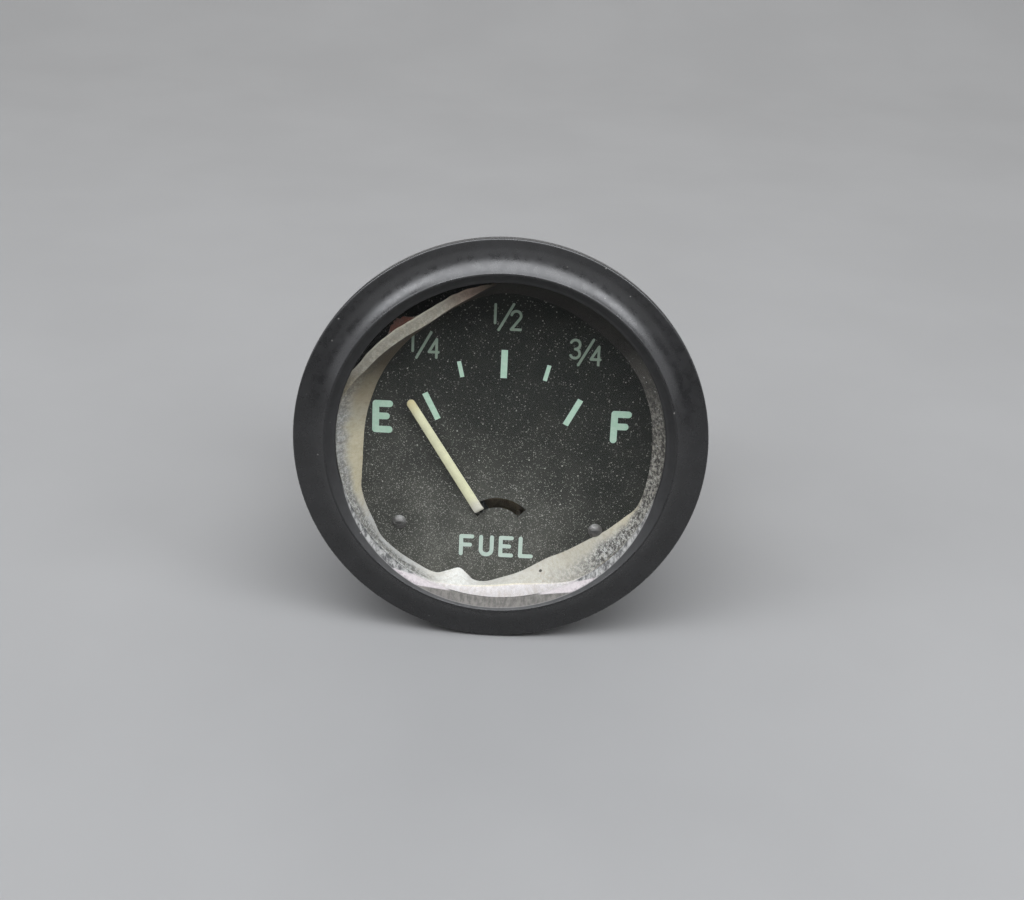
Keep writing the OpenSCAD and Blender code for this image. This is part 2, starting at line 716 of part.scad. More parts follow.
// Coils: each is an iron core on a bracket, a bobbin and its winding
module core(side) color("#6d6a66") along_coil(side) {
    foot_y = plate_y - coil_y - bracket_t;
    translate([0, 0, pole_reach]) cylinder(h = pole_t, r = pole_r);
    translate([0, 0, pole_reach]) cylinder(h = bracket_end - pole_reach, r = core_r);
    translate([-bracket_w / 2, -bracket_w / 2, bracket_start])
        cube([bracket_w, bracket_w / 2 + plate_y - coil_y, bracket_t]);
    translate([-bracket_w / 2, foot_y, bracket_start]) cube([bracket_w, bracket_t, bracket_t + bracket_foot]);
}
module left_core() core(-1);
module right_core() core(1);

module bobbin(side) color("#5a3a22") along_coil(side) translate([0, 0, bobbin_start]) difference() {
    union() {
        cylinder(h = bobbin_run, r = core_r + fit + bobbin_wall);
        cylinder(h = bobbin_flange, r = bobbin_r);
        translate([0, 0, bobbin_run - bobbin_flange]) cylinder(h = bobbin_flange, r = bobbin_r);
    }
    translate([0, 0, -1]) cylinder(h = bobbin_run + 2, r = core_r + fit);
}
module left_bobbin() bobbin(-1);
module right_bobbin() bobbin(1);

module winding(side) color("#a8562a") along_coil(side) translate([0, 0, bobbin_start + bobbin_flange]) difference() {
    cylinder(h = bobbin_run - 2 * bobbin_flange, r = bobbin_r - winding_inset);
    translate([0, 0, -1]) cylinder(h = bobbin_run, r = core_r + 2 * fit + bobbin_wall);
}
module left_winding() winding(-1);
module right_winding() winding(1);

// Lead wires: one from each winding through the movement plate to the head of a terminal.
// Each route is a row of points: out of the winding, up to the hole, through it and round to the head.
lead_sides = 8;
function lead_route(side, up) =
    let (tag = bobbin_start + bobbin_run / 2, out = bobbin_r - winding_inset,
         start = [side * (tag * sin(coil_angle) - out * cos(coil_angle)), coil_y,
                  pivot_z + tag * cos(coil_angle) + out * sin(coil_angle)],
         hole = [side * lead_hole_x, plate_y + plate_t / 2, lead_hole_z],
         end = [0, rear_in - insulator_t - terminal_head_t, up * terminal_pz])
    [start, start + [-side * cos(coil_angle), 0, sin(coil_angle)] * 1.5, start + [side * 0.5, 1.5, 6],
     hole - [0, 3, 1.5], hole - [0, 1.2, 0], hole + [0, 1.5, 0], hole + [0, 3.5, (up - 1) * 3],
     [side * lead_hole_x * 0.8, (hole[1] + end[1]) / 2, (lead_hole_z + up * terminal_pz) / 2],
     end - [-side * 2.5, 3, up * 1.5], end - [-side * 0.3, 1.6, 0], end];
function unit(v) = v / norm(v);
function route_way(route, i) = unit(route[min(i + 1, len(route) - 1)] - route[max(i - 1, 0)]);
function wire_ring(route, i) =
    let (way = i == len(route) - 1 ? [0, 1, 0] : route_way(route, i), side = unit(cross(way, [1, 0, 0.37])),
         over = cross(way, side))
    [for (k = [0:lead_sides - 1]) let (a = 360 * k / lead_sides)
     route[i] + lead_r * (cos(a) * side + sin(a) * over)];
module wire(route) {
    rings = len(route);
    function at(i, k) = i * lead_sides + k % lead_sides;
    points = [for (i = [0:rings - 1]) each wire_ring(route, i)];
    faces = [[for (k = [0:lead_sides - 1]) k], [for (k = [lead_sides - 1:-1:0]) at(rings - 1, k)],
             for (i = [0:rings - 2], k = [0:lead_sides - 1])
             each [[at(i, k), at(i + 1, k), at(i, k + 1)], [at(i, k + 1), at(i + 1, k), at(i + 1, k + 1)]]];
    polyhedron(points, faces);
}
module lead_wires() color("#7a2f22") {
    wire(lead_route(-1, 1));
    wire(lead_route(1, -1));
}

// Case: a drawn cup with a front flange, a tapered rear part and holes for what is fastened to its rear wall
module case_section() {
    taper = taper_cut / (taper_run - rear_round);
    rear_r = case_r - taper_cut;
    difference() {
        union() {
            translate([0, -flange_h]) square([flange_r, flange_t]);
            translate([0, -flange_h]) square([neck_r, flange_h + neck_run]);
            polygon([[0, neck_run], [case_r, neck_run], [case_r, taper_y], [rear_r, rear_out - rear_round],
                     [0, rear_out - rear_round]]);
            translate([0, rear_out - 2 * rear_round]) square([rear_r - rear_round, 2 * rear_round]);
            translate([rear_r - rear_round, rear_out - rear_round]) circle(r = rear_round);
        }
        polygon([[-1, -flange_h - 1], [bore_r, -flange_h - 1], [bore_r, taper_y],
                 [bore_r - taper * (rear_in - taper_y), rear_in], [-1, rear_in]]);
        translate([-2 * case_r, -case_r]) square([2 * case_r, 3 * case_r]);
    }
}

module case() color("#3c3e40") difference() {
    turned() case_section();
    for (side = SIDES) {
        bar(0, side * terminal_pz, rear_in - 1, rear_out + 1, insulator_neck + fit);
        bar(side * stud_px, 0, rear_in - 1, rear_out + 1, stud_r + fit);
        bar(side * post_px, post_pz, rear_in - 1, rear_out + 1, screw_r + loose);
    }
}

module case_screws() color("#b3ada0") for (side = SIDES) mirror([0, 1, 0])
    slotted_screw(side * post_px, post_pz, -rear_out, screw_head, screw_head_h, screw_r, rear_wall + screw_run);

module mounting_posts() color("#b8964f") for (side = SIDES) difference() {
    bar(side * post_px, post_pz, plate_back, rear_in, post_r);
    bar(side * post_px, post_pz, rear_in - screw_run - 1, rear_in + 1, screw_r + fit);
}

// Terminals: a headed stud in an insulating bush, with an insulating washer, a washer and a nut outside
module terminal_studs() color("#b9975a") for (side = SIDES) {
    head_y = rear_in - insulator_t - terminal_head_t;
    bar(0, side * terminal_pz, head_y, head_y + terminal_head_t, terminal_head_r);
    bar(0, side * terminal_pz, head_y, thread_start, terminal_r - terminal_relief);
    bar(0, side * terminal_pz, thread_start, terminal_end, terminal_r);
}

module terminal_bushes() color("#5b2f24") for (side = SIDES) difference() {
    union() {
        bar(0, side * terminal_pz, rear_in - insulator_t, rear_in, insulator_r);
        bar(0, side * terminal_pz, rear_in - insulator_t, rear_out, insulator_neck);
    }
    bar(0, side * terminal_pz, rear_in - insulator_t - 1, rear_out + 1, terminal_r + fit);
}

module terminal_insulators() color("#6b3a2b") for (side = SIDES)
    tube(0, side * terminal_pz, rear_out, insulator_end, insulator_r, terminal_r + fit);

module terminal_washers() color("#b7b2a6") for (side = SIDES)
    tube(0, side * terminal_pz, insulator_end, washer_end, washer_r, terminal_r + loose);

module terminal_nuts() color("#c0a062") for (side = SIDES) difference() {
    translate([0, washer_end, side * terminal_pz]) rotate([-90, 0, 0]) cylinder(h = nut_h, d = nut_corners, $fn = 6);
    bar(0, side * terminal_pz, washer_end - 1, nut_end + 1, terminal_r + fit);
}

// Clamp: a U strap on two studs, whose legs press the panel against the bezel
module clamp_studs() color("#a9a59c") for (side = SIDES) {
    bar(side * stud_px, 0, rear_in - stud_head_t, rear_in, stud_head_r);
    bar(side * stud_px, 0, rear_in - stud_head_t, stud_end, stud_r);
}

module strap_outline() {
    outer_x = leg_x + strap_t;
    inner_round = strap_round - strap_t;
    difference() {
        union() {
            translate([-outer_x, panel_t]) square([2 * outer_x, bow_back - strap_round - panel_t]);
            translate([-outer_x + strap_round, panel_t]) square([2 * (outer_x - strap_round), bow_back - panel_t]);
            for (side = SIDES) translate([side * (outer_x - strap_round), bow_back - strap_round])
                circle(r = strap_round);
        }
        translate([-leg_x, panel_t - 1]) square([2 * leg_x, bow_y - inner_round - panel_t + 1]);
        translate([-leg_x + inner_round, panel_t - 1]) square([2 * (leg_x - inner_round), bow_y - panel_t + 1]);
        for (side = SIDES) translate([side * (leg_x - inner_round), bow_y - inner_round]) circle(r = inner_round);
    }
}

module clamp_bracket() color("#8f8f8b") difference() {
    translate([0, 0, -strap_w / 2]) linear_extrude(strap_w) strap_outline();
    for (side = SIDES) bar(side * stud_px, 0, bow_y - 1, bow_back + 1, stud_r + loose);
}

module clamp_washers() color("#b5b1a8") for (side = SIDES)
    tube(side * stud_px, 0, bow_back, clamp_washer_end, clamp_washer_r, stud_r + loose);

module thumb_nut(side) color("#b39556") difference() {
    union() {
        bar(side * stud_px, 0, clamp_washer_end, collar_end, collar_r);
        translate([side * stud_px, 0, 0]) plate(collar_end, thumb_h)
            polygon([for (i = [0:2 * knurl_count - 1]) let (a = 180 * i / knurl_count, r = thumb_r - (i % 2) * knurl_cut)
                     r * [cos(a), sin(a)]]);
    }
    bar(side * stud_px, 0, clamp_washer_end - 1, thumb_end + 1, stud_r + running);
}
module left_thumb_nut() thumb_nut(-1);
module right_thumb_nut() thumb_nut(1);

// Pointer: a bent strip, from its ring on the hub behind the dial, through the slot, to its tip in front
module pointer_face() {
    tip = face * pointer_r - pointer_tip_w / 2;
    polygon([[-pointer_w / 2, bend_r - pointer_t / 2], [pointer_w / 2, bend_r - pointer_t / 2],
             [pointer_tip_w / 2, tip], [-pointer_tip_w / 2, tip]]);
    translate([0, tip]) circle(d = pointer_tip_w);
}

module pointer_arm() difference() {
    union() {
        circle(r = hub_r);
        translate([-pointer_w / 2, 0]) square([pointer_w, bend_r + pointer_t / 2]);
        translate([-tail_w / 2, -tail_r]) square([tail_w, tail_r]);
    }
    circle(r = spigot_r + fit);
}

module pointer() color("#d8cf9e") pointing() {
    plate(pointer_y, pointer_t) pointer_face();
    plate(arm_y, pointer_t) pointer_arm();
    translate([-pointer_w / 2, pointer_y, bend_r - pointer_t / 2])
        cube([pointer_w, arm_back - pointer_y, pointer_t]);
}

module pointer_hub() color("#b9975a") pointing() difference() {
    union() {
        bar(0, 0, arm_y - pointer_t / 2, arm_back, spigot_r);
        bar(0, 0, arm_back, hub_back, hub_r);
    }
    bar(0, 0, arm_y - 1, hub_back + 1, staff_r + fit);
}

module pointer_staff() color("#9b9a96") pointing() bar(0, 0, arm_y - pointer_t, plate_back + pointer_t, staff_r);

module armature() color("#7d7a74") pointing() difference() {
    intersection() {
        bar(0, 0, coil_y - armature_run / 2, coil_y + armature_run / 2, armature_r);
        translate([-armature_w / 2, coil_y - armature_run, -armature_r])
            cube([armature_w, 2 * armature_run, 2 * armature_r]);
    }
    bar(0, 0, coil_y - armature_run, coil_y + armature_run, staff_r + fit);
}

module counterweight() color("#b9975a") pointing() difference() {
    translate([0, arm_y + pointer_t / 2, -tail_r - fit - pointer_t]) cylinder(h = weight_run, r = weight_r);
    translate([-tail_w / 2 - fit, arm_y - fit, -tail_r - fit])
        cube([tail_w + 2 * fit, pointer_t + 2 * fit, tail_r]);
}

bezel();
lens();
lens_gasket();
spacer_ring();
lining_strip();
dial();
dial_markings();
dial_screws();
dial_pillars();
case();
case_screws();
mounting_posts();
movement_plate();
bearing_bridge();
bridge_pillars();
bridge_screws();
front_bearing();
rear_bearing();
stop_pins();
left_core();
right_core();
left_bobbin();
right_bobbin();
left_winding();
right_winding();
lead_wires();
terminal_studs();
terminal_bushes();
terminal_insulators();
terminal_washers();
terminal_nuts();
clamp_studs();
pointer();
pointer_hub();
pointer_staff();
armature();
counterweight();
clamp_bracket();
clamp_washers();
left_thumb_nut();
right_thumb_nut();
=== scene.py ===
"""Looks of a small panel fuel gauge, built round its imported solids.

Lengths are in millimetres until a mesh is made.
"""

import json
import math

import bmesh
import bpy
from mathutils import Matrix, Vector, noise


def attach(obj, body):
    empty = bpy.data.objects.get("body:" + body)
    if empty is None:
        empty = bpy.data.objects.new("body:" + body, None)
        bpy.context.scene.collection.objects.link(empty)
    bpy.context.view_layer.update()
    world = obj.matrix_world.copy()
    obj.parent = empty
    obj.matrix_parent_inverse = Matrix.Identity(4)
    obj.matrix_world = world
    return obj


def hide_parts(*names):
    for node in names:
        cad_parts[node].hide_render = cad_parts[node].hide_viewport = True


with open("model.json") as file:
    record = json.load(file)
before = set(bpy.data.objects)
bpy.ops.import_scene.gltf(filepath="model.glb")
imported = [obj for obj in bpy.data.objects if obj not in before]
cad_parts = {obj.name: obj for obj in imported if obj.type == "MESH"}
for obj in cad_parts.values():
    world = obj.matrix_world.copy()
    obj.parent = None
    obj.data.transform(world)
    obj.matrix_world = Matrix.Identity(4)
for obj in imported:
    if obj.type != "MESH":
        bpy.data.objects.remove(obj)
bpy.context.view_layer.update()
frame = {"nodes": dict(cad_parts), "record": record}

MM = 0.001
TURN = 2 * math.pi
SIDES = (-1, 1)
NODES = frame["nodes"]

# Sizes shared with the solids
PIVOT_Z = -15.9
REST_ANGLE = math.radians(33.2)
CREST_R = 25.4
CREST_Y = -5.25
CREST_ROUND = 0.25
LIP_R = 23.9
STUD_X = 13.5
TERMINAL_Z = 12.5
THREAD_PITCH = 0.794
THREAD_R = 2.08

# Camera, fitted to the rim, the crest and the lip of the bezel
CAMERA_AT = Vector((1.387, -208.211, 64.761))
CAMERA_AIM = Vector((1.72, 0, -1.83))
CAMERA_ROLL = 0.047
CAMERA_LENS = 52.03
CAMERA_SENSOR = 36


def make_camera():
    data = bpy.data.cameras.new("camera")
    data.sensor_width = CAMERA_SENSOR
    data.lens = CAMERA_LENS
    data.clip_start = 0.005
    data.clip_end = 20
    camera = bpy.data.objects.new("camera", data)
    bpy.context.scene.collection.objects.link(camera)
    back = (CAMERA_AT - CAMERA_AIM).normalized()
    right = Vector((0, 0, 1)).cross(back).normalized()
    up = back.cross(right)
    rolled_right = math.cos(CAMERA_ROLL) * right + math.sin(CAMERA_ROLL) * up
    rolled_up = back.cross(rolled_right)
    turn = Matrix((rolled_right, rolled_up, back)).transposed().to_4x4()
    camera.matrix_world = Matrix.Translation(CAMERA_AT * MM) @ turn
    bpy.context.scene.camera = camera


# Meshes
def ring(radius, y, count, x=0.0, z=0.0):
    """A ring of points about the axis at x, z.

    The radius is a number or a function of the angle from the top.
    """
    points = []
    for i in range(count):
        angle = TURN * i / count
        r = radius(angle) if callable(radius) else radius
        points.append((x + r * math.sin(angle), y, z + r * math.cos(angle)))
    return points


def skin(rings, closed):
    """Points and faces over rings of equal count.

    A closed skin joins its last ring to its first, and any other is capped at both ends.
    """
    count = len(rings[0])
    points = [p for one in rings for p in one]
    faces = []
    last = len(rings) if closed else len(rings) - 1
    for i in range(last):
        a = i * count
        b = (i + 1) % len(rings) * count
        for k in range(count):
            m = (k + 1) % count
            faces.append((a + k, a + m, b + m, b + k))
    if not closed:
        faces.append(tuple(range(count))[::-1])
        faces.append(tuple(range(len(points) - count, len(points))))
    return points, faces


def merged(parts):
    """Several pairs of points and faces as one."""
    points = []
    faces = []
    for some_points, some_faces in parts:
        start = len(points)
        points += some_points
        faces += [tuple(start + i for i in face) for face in some_faces]
    return points, faces


def lathe(profile, count, x=0.0, z=0.0):
    """A closed profile of radius and depth, turned about the axis at x, z."""
    return skin([ring(r, y, count, x, z) for r, y in profile], True)


def arc(centre, radius, start, end, steps):
    """Points of an arc, with angles in degrees."""
    out = []
    for i in range(steps + 1):
        angle = math.radians(start + (end - start) * i / steps)
        out.append((centre[0] + radius * math.cos(angle), centre[1] + radius * math.sin(angle)))
    return out


def quarter(steps):
    """Pairs of sine and cosine over a quarter turn, in equal steps."""
    angles = [math.radians(90 * i / steps) for i in range(steps + 1)]
    return [(math.sin(a), math.cos(a)) for a in angles]


def add_piece(name, mesh, body, slot, sharp_angle, node):
    """A finished mesh as a piece, which rides on a body and stands for a node."""
    mesh.shade_smooth()
    mesh.set_sharp_from_angle(angle=math.radians(sharp_angle))
    mesh.materials.clear()
    mesh.materials.append(MATERIALS[slot])
    piece = bpy.data.objects.new(name, mesh)
    bpy.context.scene.collection.objects.link(piece)
    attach(piece, body)
    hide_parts(node)
    return piece


def make_piece(name, shape, body, slot, sharp_angle, node):
    """A piece from points and faces, with its normals turned outward."""
    points, faces = shape
    mesh = bpy.data.meshes.new(name)
    mesh.from_pydata([Vector(p) * MM for p in points], [], faces)
    work = bmesh.new()
    work.from_mesh(mesh)
    bmesh.ops.recalc_face_normals(work, faces=work.faces)
    work.to_mesh(mesh)
    work.free()
    return add_piece(name, mesh, body, slot, sharp_angle, node)


# Shaders
FLAT = (1, 0, 1)


class Shader:
    """A Principled material with procedural inputs.

    Lengths in the nodes are in millimetres of the gauge's frame.
    """

    def __init__(self, name):
        self.material = bpy.data.materials.new(name)
        self.material.use_nodes = True
        self.tree = self.material.node_tree
        self.tree.nodes.clear()
        self.out = self.tree.nodes.new("ShaderNodeOutputMaterial")
        self.bsdf = self.tree.nodes.new("ShaderNodeBsdfPrincipled")
        self.link(self.bsdf.outputs[0], self.out.inputs["Surface"])
        coordinates = self.tree.nodes.new("ShaderNodeTexCoord")
        to_mm = self.tree.nodes.new("ShaderNodeVectorMath")
        to_mm.operation = "SCALE"
        to_mm.inputs["Scale"].default_value = 1 / MM
        self.link(coordinates.outputs["Object"], to_mm.inputs[0])
        self.place = to_mm.outputs[0]

    def link(self, source, target):
        self.tree.links.new(source, target)

    def put(self, socket, value):
        """Links an output to a socket, or sets the socket to a plain value."""
        if isinstance(value, bpy.types.NodeSocket):
            self.link(value, socket)
        else:
            socket.default_value = value

    def set(self, **values):
        """Sets the shader's own sockets, by names with underscores for spaces."""
        for name, value in values.items():
            wanted = name.replace("_", " ").lower()
            socket = next(s for s in self.bsdf.inputs if s.name.lower() == wanted)
            self.put(socket, value)

    def combine(self, operation, a, b=0.0):
        node = self.tree.nodes.new("ShaderNodeMath")
        node.operation = operation
        self.put(node.inputs[0], a)
        self.put(node.inputs[1], b)
        return node.outputs[0]

    def plus(self, a, b):
        return self.combine("ADD", a, b)

    def minus(self, a, b):
        return self.combine("SUBTRACT", a, b)

    def times(self, a, b):
        return self.combine("MULTIPLY", a, b)

    def most(self, a, b):
        return self.combine("MAXIMUM", a, b)

    def moved(self, offset=(0, 0, 0), scale=(1, 1, 1)):
        """The place, shifted and stretched."""
        node = self.tree.nodes.new("ShaderNodeMapping")
        self.link(self.place, node.inputs["Vector"])
        node.inputs["Location"].default_value = offset
        node.inputs["Scale"].default_value = scale
        return node.outputs[0]

    def noise(self, scale, detail=3.0, rough=0.55, vector=None):
        node = self.tree.nodes.new("ShaderNodeTexNoise")
        self.link(vector or self.place, node.inputs["Vector"])
        node.inputs["Scale"].default_value = scale
        node.inputs["Detail"].default_value = detail
        node.inputs["Roughness"].default_value = rough
        return node.outputs["Fac"]

    def span(self, value, low, high, to_low=0.0, to_high=1.0):
        """The value between low and high, spread over a new span and held at its ends.

        With low above high it falls where it would otherwise rise.
        """
        node = self.tree.nodes.new("ShaderNodeMapRange")
        node.interpolation_type = "SMOOTHSTEP"
        self.put(node.inputs["Value"], value)
        node.inputs["From Min"].default_value = low
        node.inputs["From Max"].default_value = high
        node.inputs["To Min"].default_value = to_low
        node.inputs["To Max"].default_value = to_high
        return node.outputs[0]

    def mix(self, share, a, b):
        """A blend from colour a to colour b."""
        node = self.tree.nodes.new("ShaderNodeMix")
        node.data_type = "RGBA"
        self.put(node.inputs[0], share)
        for socket, value in ((node.inputs[6], a), (node.inputs[7], b)):
            self.put(socket, (*value, 1) if isinstance(value, tuple) else value)
        return node.outputs[2]

    def shade(self, colour, by):
        """A colour multiplied by another."""
        node = self.tree.nodes.new("ShaderNodeMix")
        node.data_type = "RGBA"
        node.blend_type = "MULTIPLY"
        node.inputs[0].default_value = 1
        self.link(colour, node.inputs[6])
        node.inputs[7].default_value = (*by, 1)
        return node.outputs[2]

    def axes(self):
        node = self.tree.nodes.new("ShaderNodeSeparateXYZ")
        self.link(self.place, node.inputs[0])
        return node.outputs

    def attribute(self, name, output="Color"):
        """What the mesh holds under a name."""
        node = self.tree.nodes.new("ShaderNodeAttribute")
        node.attribute_name = name
        return node.outputs[output]

    def away(self, point, stretch=(1, 1, 1)):
        """Distance from a point, in stretched millimetres."""
        node = self.tree.nodes.new("ShaderNodeVectorMath")
        node.operation = "LENGTH"
        offset = tuple(-p * s for p, s in zip(point, stretch))
        self.link(self.moved(offset, stretch), node.inputs[0])
        return node.outputs["Value"]

    def specks(self, per_mm, size, share, vector=None):
        """Round specks: about per_mm cells to a millimetre, of which a share hold a speck."""
        node = self.tree.nodes.new("ShaderNodeTexVoronoi")
        node.inputs["Scale"].default_value = per_mm
        self.link(vector or self.place, node.inputs["Vector"])
        split = self.tree.nodes.new("ShaderNodeSeparateColor")
        self.link(node.outputs["Color"], split.inputs[0])
        chosen = self.combine("LESS_THAN", split.outputs[0], share)
        reach = self.times(split.outputs[1], size)
        within = self.combine("LESS_THAN", node.outputs["Distance"], reach)
        return self.times(chosen, within)

    def bump(self, height, distance, strength=1.0):
        """Relief of a height of 0 to 1, with the distance in millimetres."""
        node = self.tree.nodes.new("ShaderNodeBump")
        node.inputs["Strength"].default_value = strength
        node.inputs["Distance"].default_value = distance * MM
        self.link(height, node.inputs["Height"])
        self.link(node.outputs[0], self.bsdf.inputs["Normal"])


def enamel(name, dark, light, gloss, dust):
    """Satin black enamel with faint orange peel, rubbed patches and a few specks.

    Gives the shader with its colour and its roughness, which the caller sets.
    """
    s = Shader(name)
    rubbed = s.span(s.noise(0.35, 4, 0.6), 0.35, 0.7)
    specks = s.times(s.specks(1.1, 0.14, 0.05), dust)
    colour = s.mix(specks, s.mix(rubbed, dark, light), (0.33, 0.32, 0.3))
    rough = s.span(s.noise(0.8, 4), 0.3, 0.7, gloss - 0.05, gloss + 0.05)
    peel = s.plus(s.noise(2.2, 3), s.times(s.noise(6, 3, 0.6), 0.3))
    s.bump(peel, 0.007, 0.25)
    return s, colour, rough


def case_enamel():
    s, colour, rough = enamel("case_enamel", (0.018, 0.018, 0.019), (0.03, 0.029, 0.028), 0.42, 0.3)
    s.set(base_color=colour, roughness=rough, specular_ior_level=0.5)
    return s.material


def bezel_enamel():
    """Glossier enamel, duller inside the crest, with a crescent of dust on the lower slope there."""
    s, colour, rough = enamel("bezel_enamel", (0.003, 0.003, 0.0032), (0.007, 0.007, 0.0075), 0.29, 0.5)
    x, y, z = s.axes()
    inside = s.span(s.away((0, 0, 0), FLAT), CREST_R - 0.1, CREST_R - 0.25)
    rough = s.plus(rough, s.times(inside, 0.3))

    # The dust keeps within a circle set low, which sinks towards the rear of the slope
    sunk = 1.54
    lean = 0.44
    slant = s.plus(s.times(s.plus(y, 5.5), lean), s.plus(z, sunk))
    reach = s.combine("SQRT", s.plus(s.times(x, x), s.times(slant, slant)))
    settled = s.times(s.span(reach, 23.38, 23.28), s.span(y, -3.3, -3.55))

    # Mottled dust above, a pale blotched band below it, and streaks at the foot
    grain = s.noise(1.9, 5, 0.75, s.moved(scale=(1, 0.4, 0.4)))
    mottle = s.mix(s.span(grain, 0.4, 0.6), (0.066, 0.066, 0.066), (0.36, 0.36, 0.345))
    streaks = s.mix(s.span(grain, 0.35, 0.65), (0.08, 0.076, 0.068), (0.17, 0.16, 0.146))
    blotches = s.span(s.noise(2.4, 5, 0.75), 0.45, 0.6)
    blotches = s.times(blotches, s.span(reach, 22.5, 23.3, 0.25, 0.8))
    band = s.mix(blotches, (0.51, 0.47, 0.47), (0.24, 0.2, 0.22))
    bow = s.times(s.times(x, x), 0.0135)
    cover = s.mix(s.span(s.minus(z, bow), -22.5, -22.7), mottle, band)
    foot = s.minus(z, s.times(bow, 0.8))
    cover = s.mix(s.span(foot, -23.35, -23.5), cover, streaks)
    # A pale line along the dust's outer edge: partly dust, partly a painted highlight on the edge of the
    # slope
    cover = s.mix(s.span(reach, 23.16, 23.23, 0, 0.5), cover, (0.2, 0.195, 0.19))
    s.set(base_color=s.mix(settled, colour, cover), roughness=s.plus(rough, s.times(settled, 0.3)),
          specular_ior_level=0.8)
    return s.material


def metal(name, bright, dull, rough, grain=(1, 1, 1), stain=0.5):
    """Bare or plated metal with a drawn grain and dull stains."""
    s = Shader(name)
    patches = s.span(s.noise(0.5, 5, 0.65), 0.5 - 0.18 * stain, 0.78)
    streaks = s.noise(5, 3, 0.6, s.moved(scale=grain))
    drawn = s.mix(s.span(streaks, 0.3, 0.7), bright, tuple(0.82 * c for c in bright))
    worn = s.span(streaks, 0.3, 0.7, rough - 0.05, rough + 0.08)
    s.set(base_color=s.mix(patches, drawn, dull), roughness=s.plus(worn, s.times(patches, 0.2)),
          metallic=1.0)
    s.bump(streaks, 0.015, 0.4)
    return s.material


def plain(name, dark, light, rough, scale=2.0, relief=0.03):
    """A dull, slightly mottled surface, such as laminate, rubber or cloth."""
    s = Shader(name)
    mottle = s.noise(scale, 4, 0.6)
    s.set(base_color=s.mix(s.span(mottle, 0.3, 0.7), dark, light),
          roughness=s.span(s.noise(scale * 2, 3), 0.3, 0.7, rough - 0.08, rough + 0.08))
    s.bump(mottle, relief, 0.5)
    return s.material


def lens_glass():
    """Clear, faintly smudged glass that lets the lamps through."""
    s = Shader("lens_glass")
    smudge = s.span(s.noise(0.15, 4, 0.6), 0.45, 0.75)
    tint = s.mix(smudge, (0.97, 0.985, 0.975), (0.95, 0.96, 0.94))
    s.set(base_color=tint, roughness=s.span(smudge, 0, 1, 0.015, 0.03), ior=1.22,
          transmission_weight=1.0)
    clear = s.tree.nodes.new("ShaderNodeBsdfTransparent")
    path = s.tree.nodes.new("ShaderNodeLightPath")
    mixer = s.tree.nodes.new("ShaderNodeMixShader")
    s.link(s.most(path.outputs["Is Shadow Ray"], path.outputs["Is Diffuse Ray"]), mixer.inputs[0])
    s.link(s.bsdf.outputs[0], mixer.inputs[1])
    s.link(clear.outputs[0], mixer.inputs[2])
    s.link(mixer.outputs[0], s.out.inputs["Surface"])
    return s.material


def dial_paint():
    """Matt black paint under a thin haze and specks of three sizes, thicker below and on the left: partly
    real dust, partly painted light on the lower dial and painted shade on the upper dial.
    """
    s = Shader("dial_paint")
    x, y, z = s.axes()
    uneven = s.span(s.noise(0.3, 4), 0.35, 0.7)
    paint = s.mix(uneven, (0.0057, 0.0068, 0.0057), (0.0095, 0.0106, 0.0085))
    # The haze grows towards the bottom, in a patch low in the middle and on the left, and thins on the
    # right: partly dust, partly painted light below and painted shade above
    low = s.span(z, 12, -14)
    middle = s.span(s.away((1, 0, -17), (0.7, 0, 1)), 15, 2)
    left = s.times(s.span(x, 0, -14), s.span(z, 12, -4))
    cloud = s.span(s.noise(0.16, 5, 0.65, s.moved((0, 0, 0), FLAT)), 0.3, 0.7, 0.65, 1.15)
    dust = s.plus(s.times(low, 0.5), s.times(middle, 0.65))
    dust = s.plus(dust, s.times(left, 0.25))
    dust = s.times(s.plus(dust, 0.12), cloud)
    dust = s.times(dust, s.span(x, 15, 3, 0.62, 1))
    haze_and_painted_light = s.mix(s.times(dust, 0.17), paint, (0.36, 0.353, 0.31))
    grains = s.plus(dust, 0.07)
    tiny = s.specks(6.5, 0.5, s.times(grains, 0.75), s.moved((0, 0, 0), FLAT))
    small = s.specks(3.1, 0.3, s.times(grains, 0.45), s.moved((3.1, 0, 7.7), FLAT))
    large = s.specks(1.2, 0.13, s.times(grains, 0.4), s.moved((8.3, 0, 2.9), FLAT))
    specks = s.most(s.times(tiny, 0.4), s.times(small, 0.55))
    specks = s.most(specks, s.times(large, 0.85))
    s.set(base_color=s.mix(specks, haze_and_painted_light, (0.42, 0.412, 0.372)), roughness=0.75,
          specular_ior_level=0.12)
    s.bump(specks, 0.02, 0.3)
    return s.material


def marking_paint():
    """Thick matt paint, uneven and dusty: darker high on the dial where the fractions stand, and paler low
    down where the word stands.
    """
    s = Shader("marking_paint")
    base = (0.36, 0.53, 0.412)
    worn = (0.44, 0.574, 0.47)
    x, y, z = s.axes()
    uneven = s.span(s.noise(1.4, 4, 0.6), 0.35, 0.7)
    grain = s.span(s.noise(7, 3, 0.7), 0.55, 0.75)
    colour = s.mix(uneven, base, worn)
    colour = s.mix(s.times(grain, 0.3), colour, tuple(0.35 * c for c in base))
    # Darker high on the dial, over the fractions
    quarters = s.times(s.span(s.combine("ABSOLUTE", x), 7.6, 8.2), s.span(z, 9.2, 9.8))
    fractions = s.most(quarters, s.span(z, 13.4, 14))
    colour = s.mix(s.times(fractions, 0.68), colour, (0.108, 0.114, 0.085))
    colour = s.mix(s.span(z, -12, -14, 0, 0.5), colour, (0.55, 0.574, 0.55))
    s.set(base_color=colour, roughness=0.7, specular_ior_level=0.3)
    s.bump(s.plus(uneven, grain), 0.02, 0.4)
    return s.material


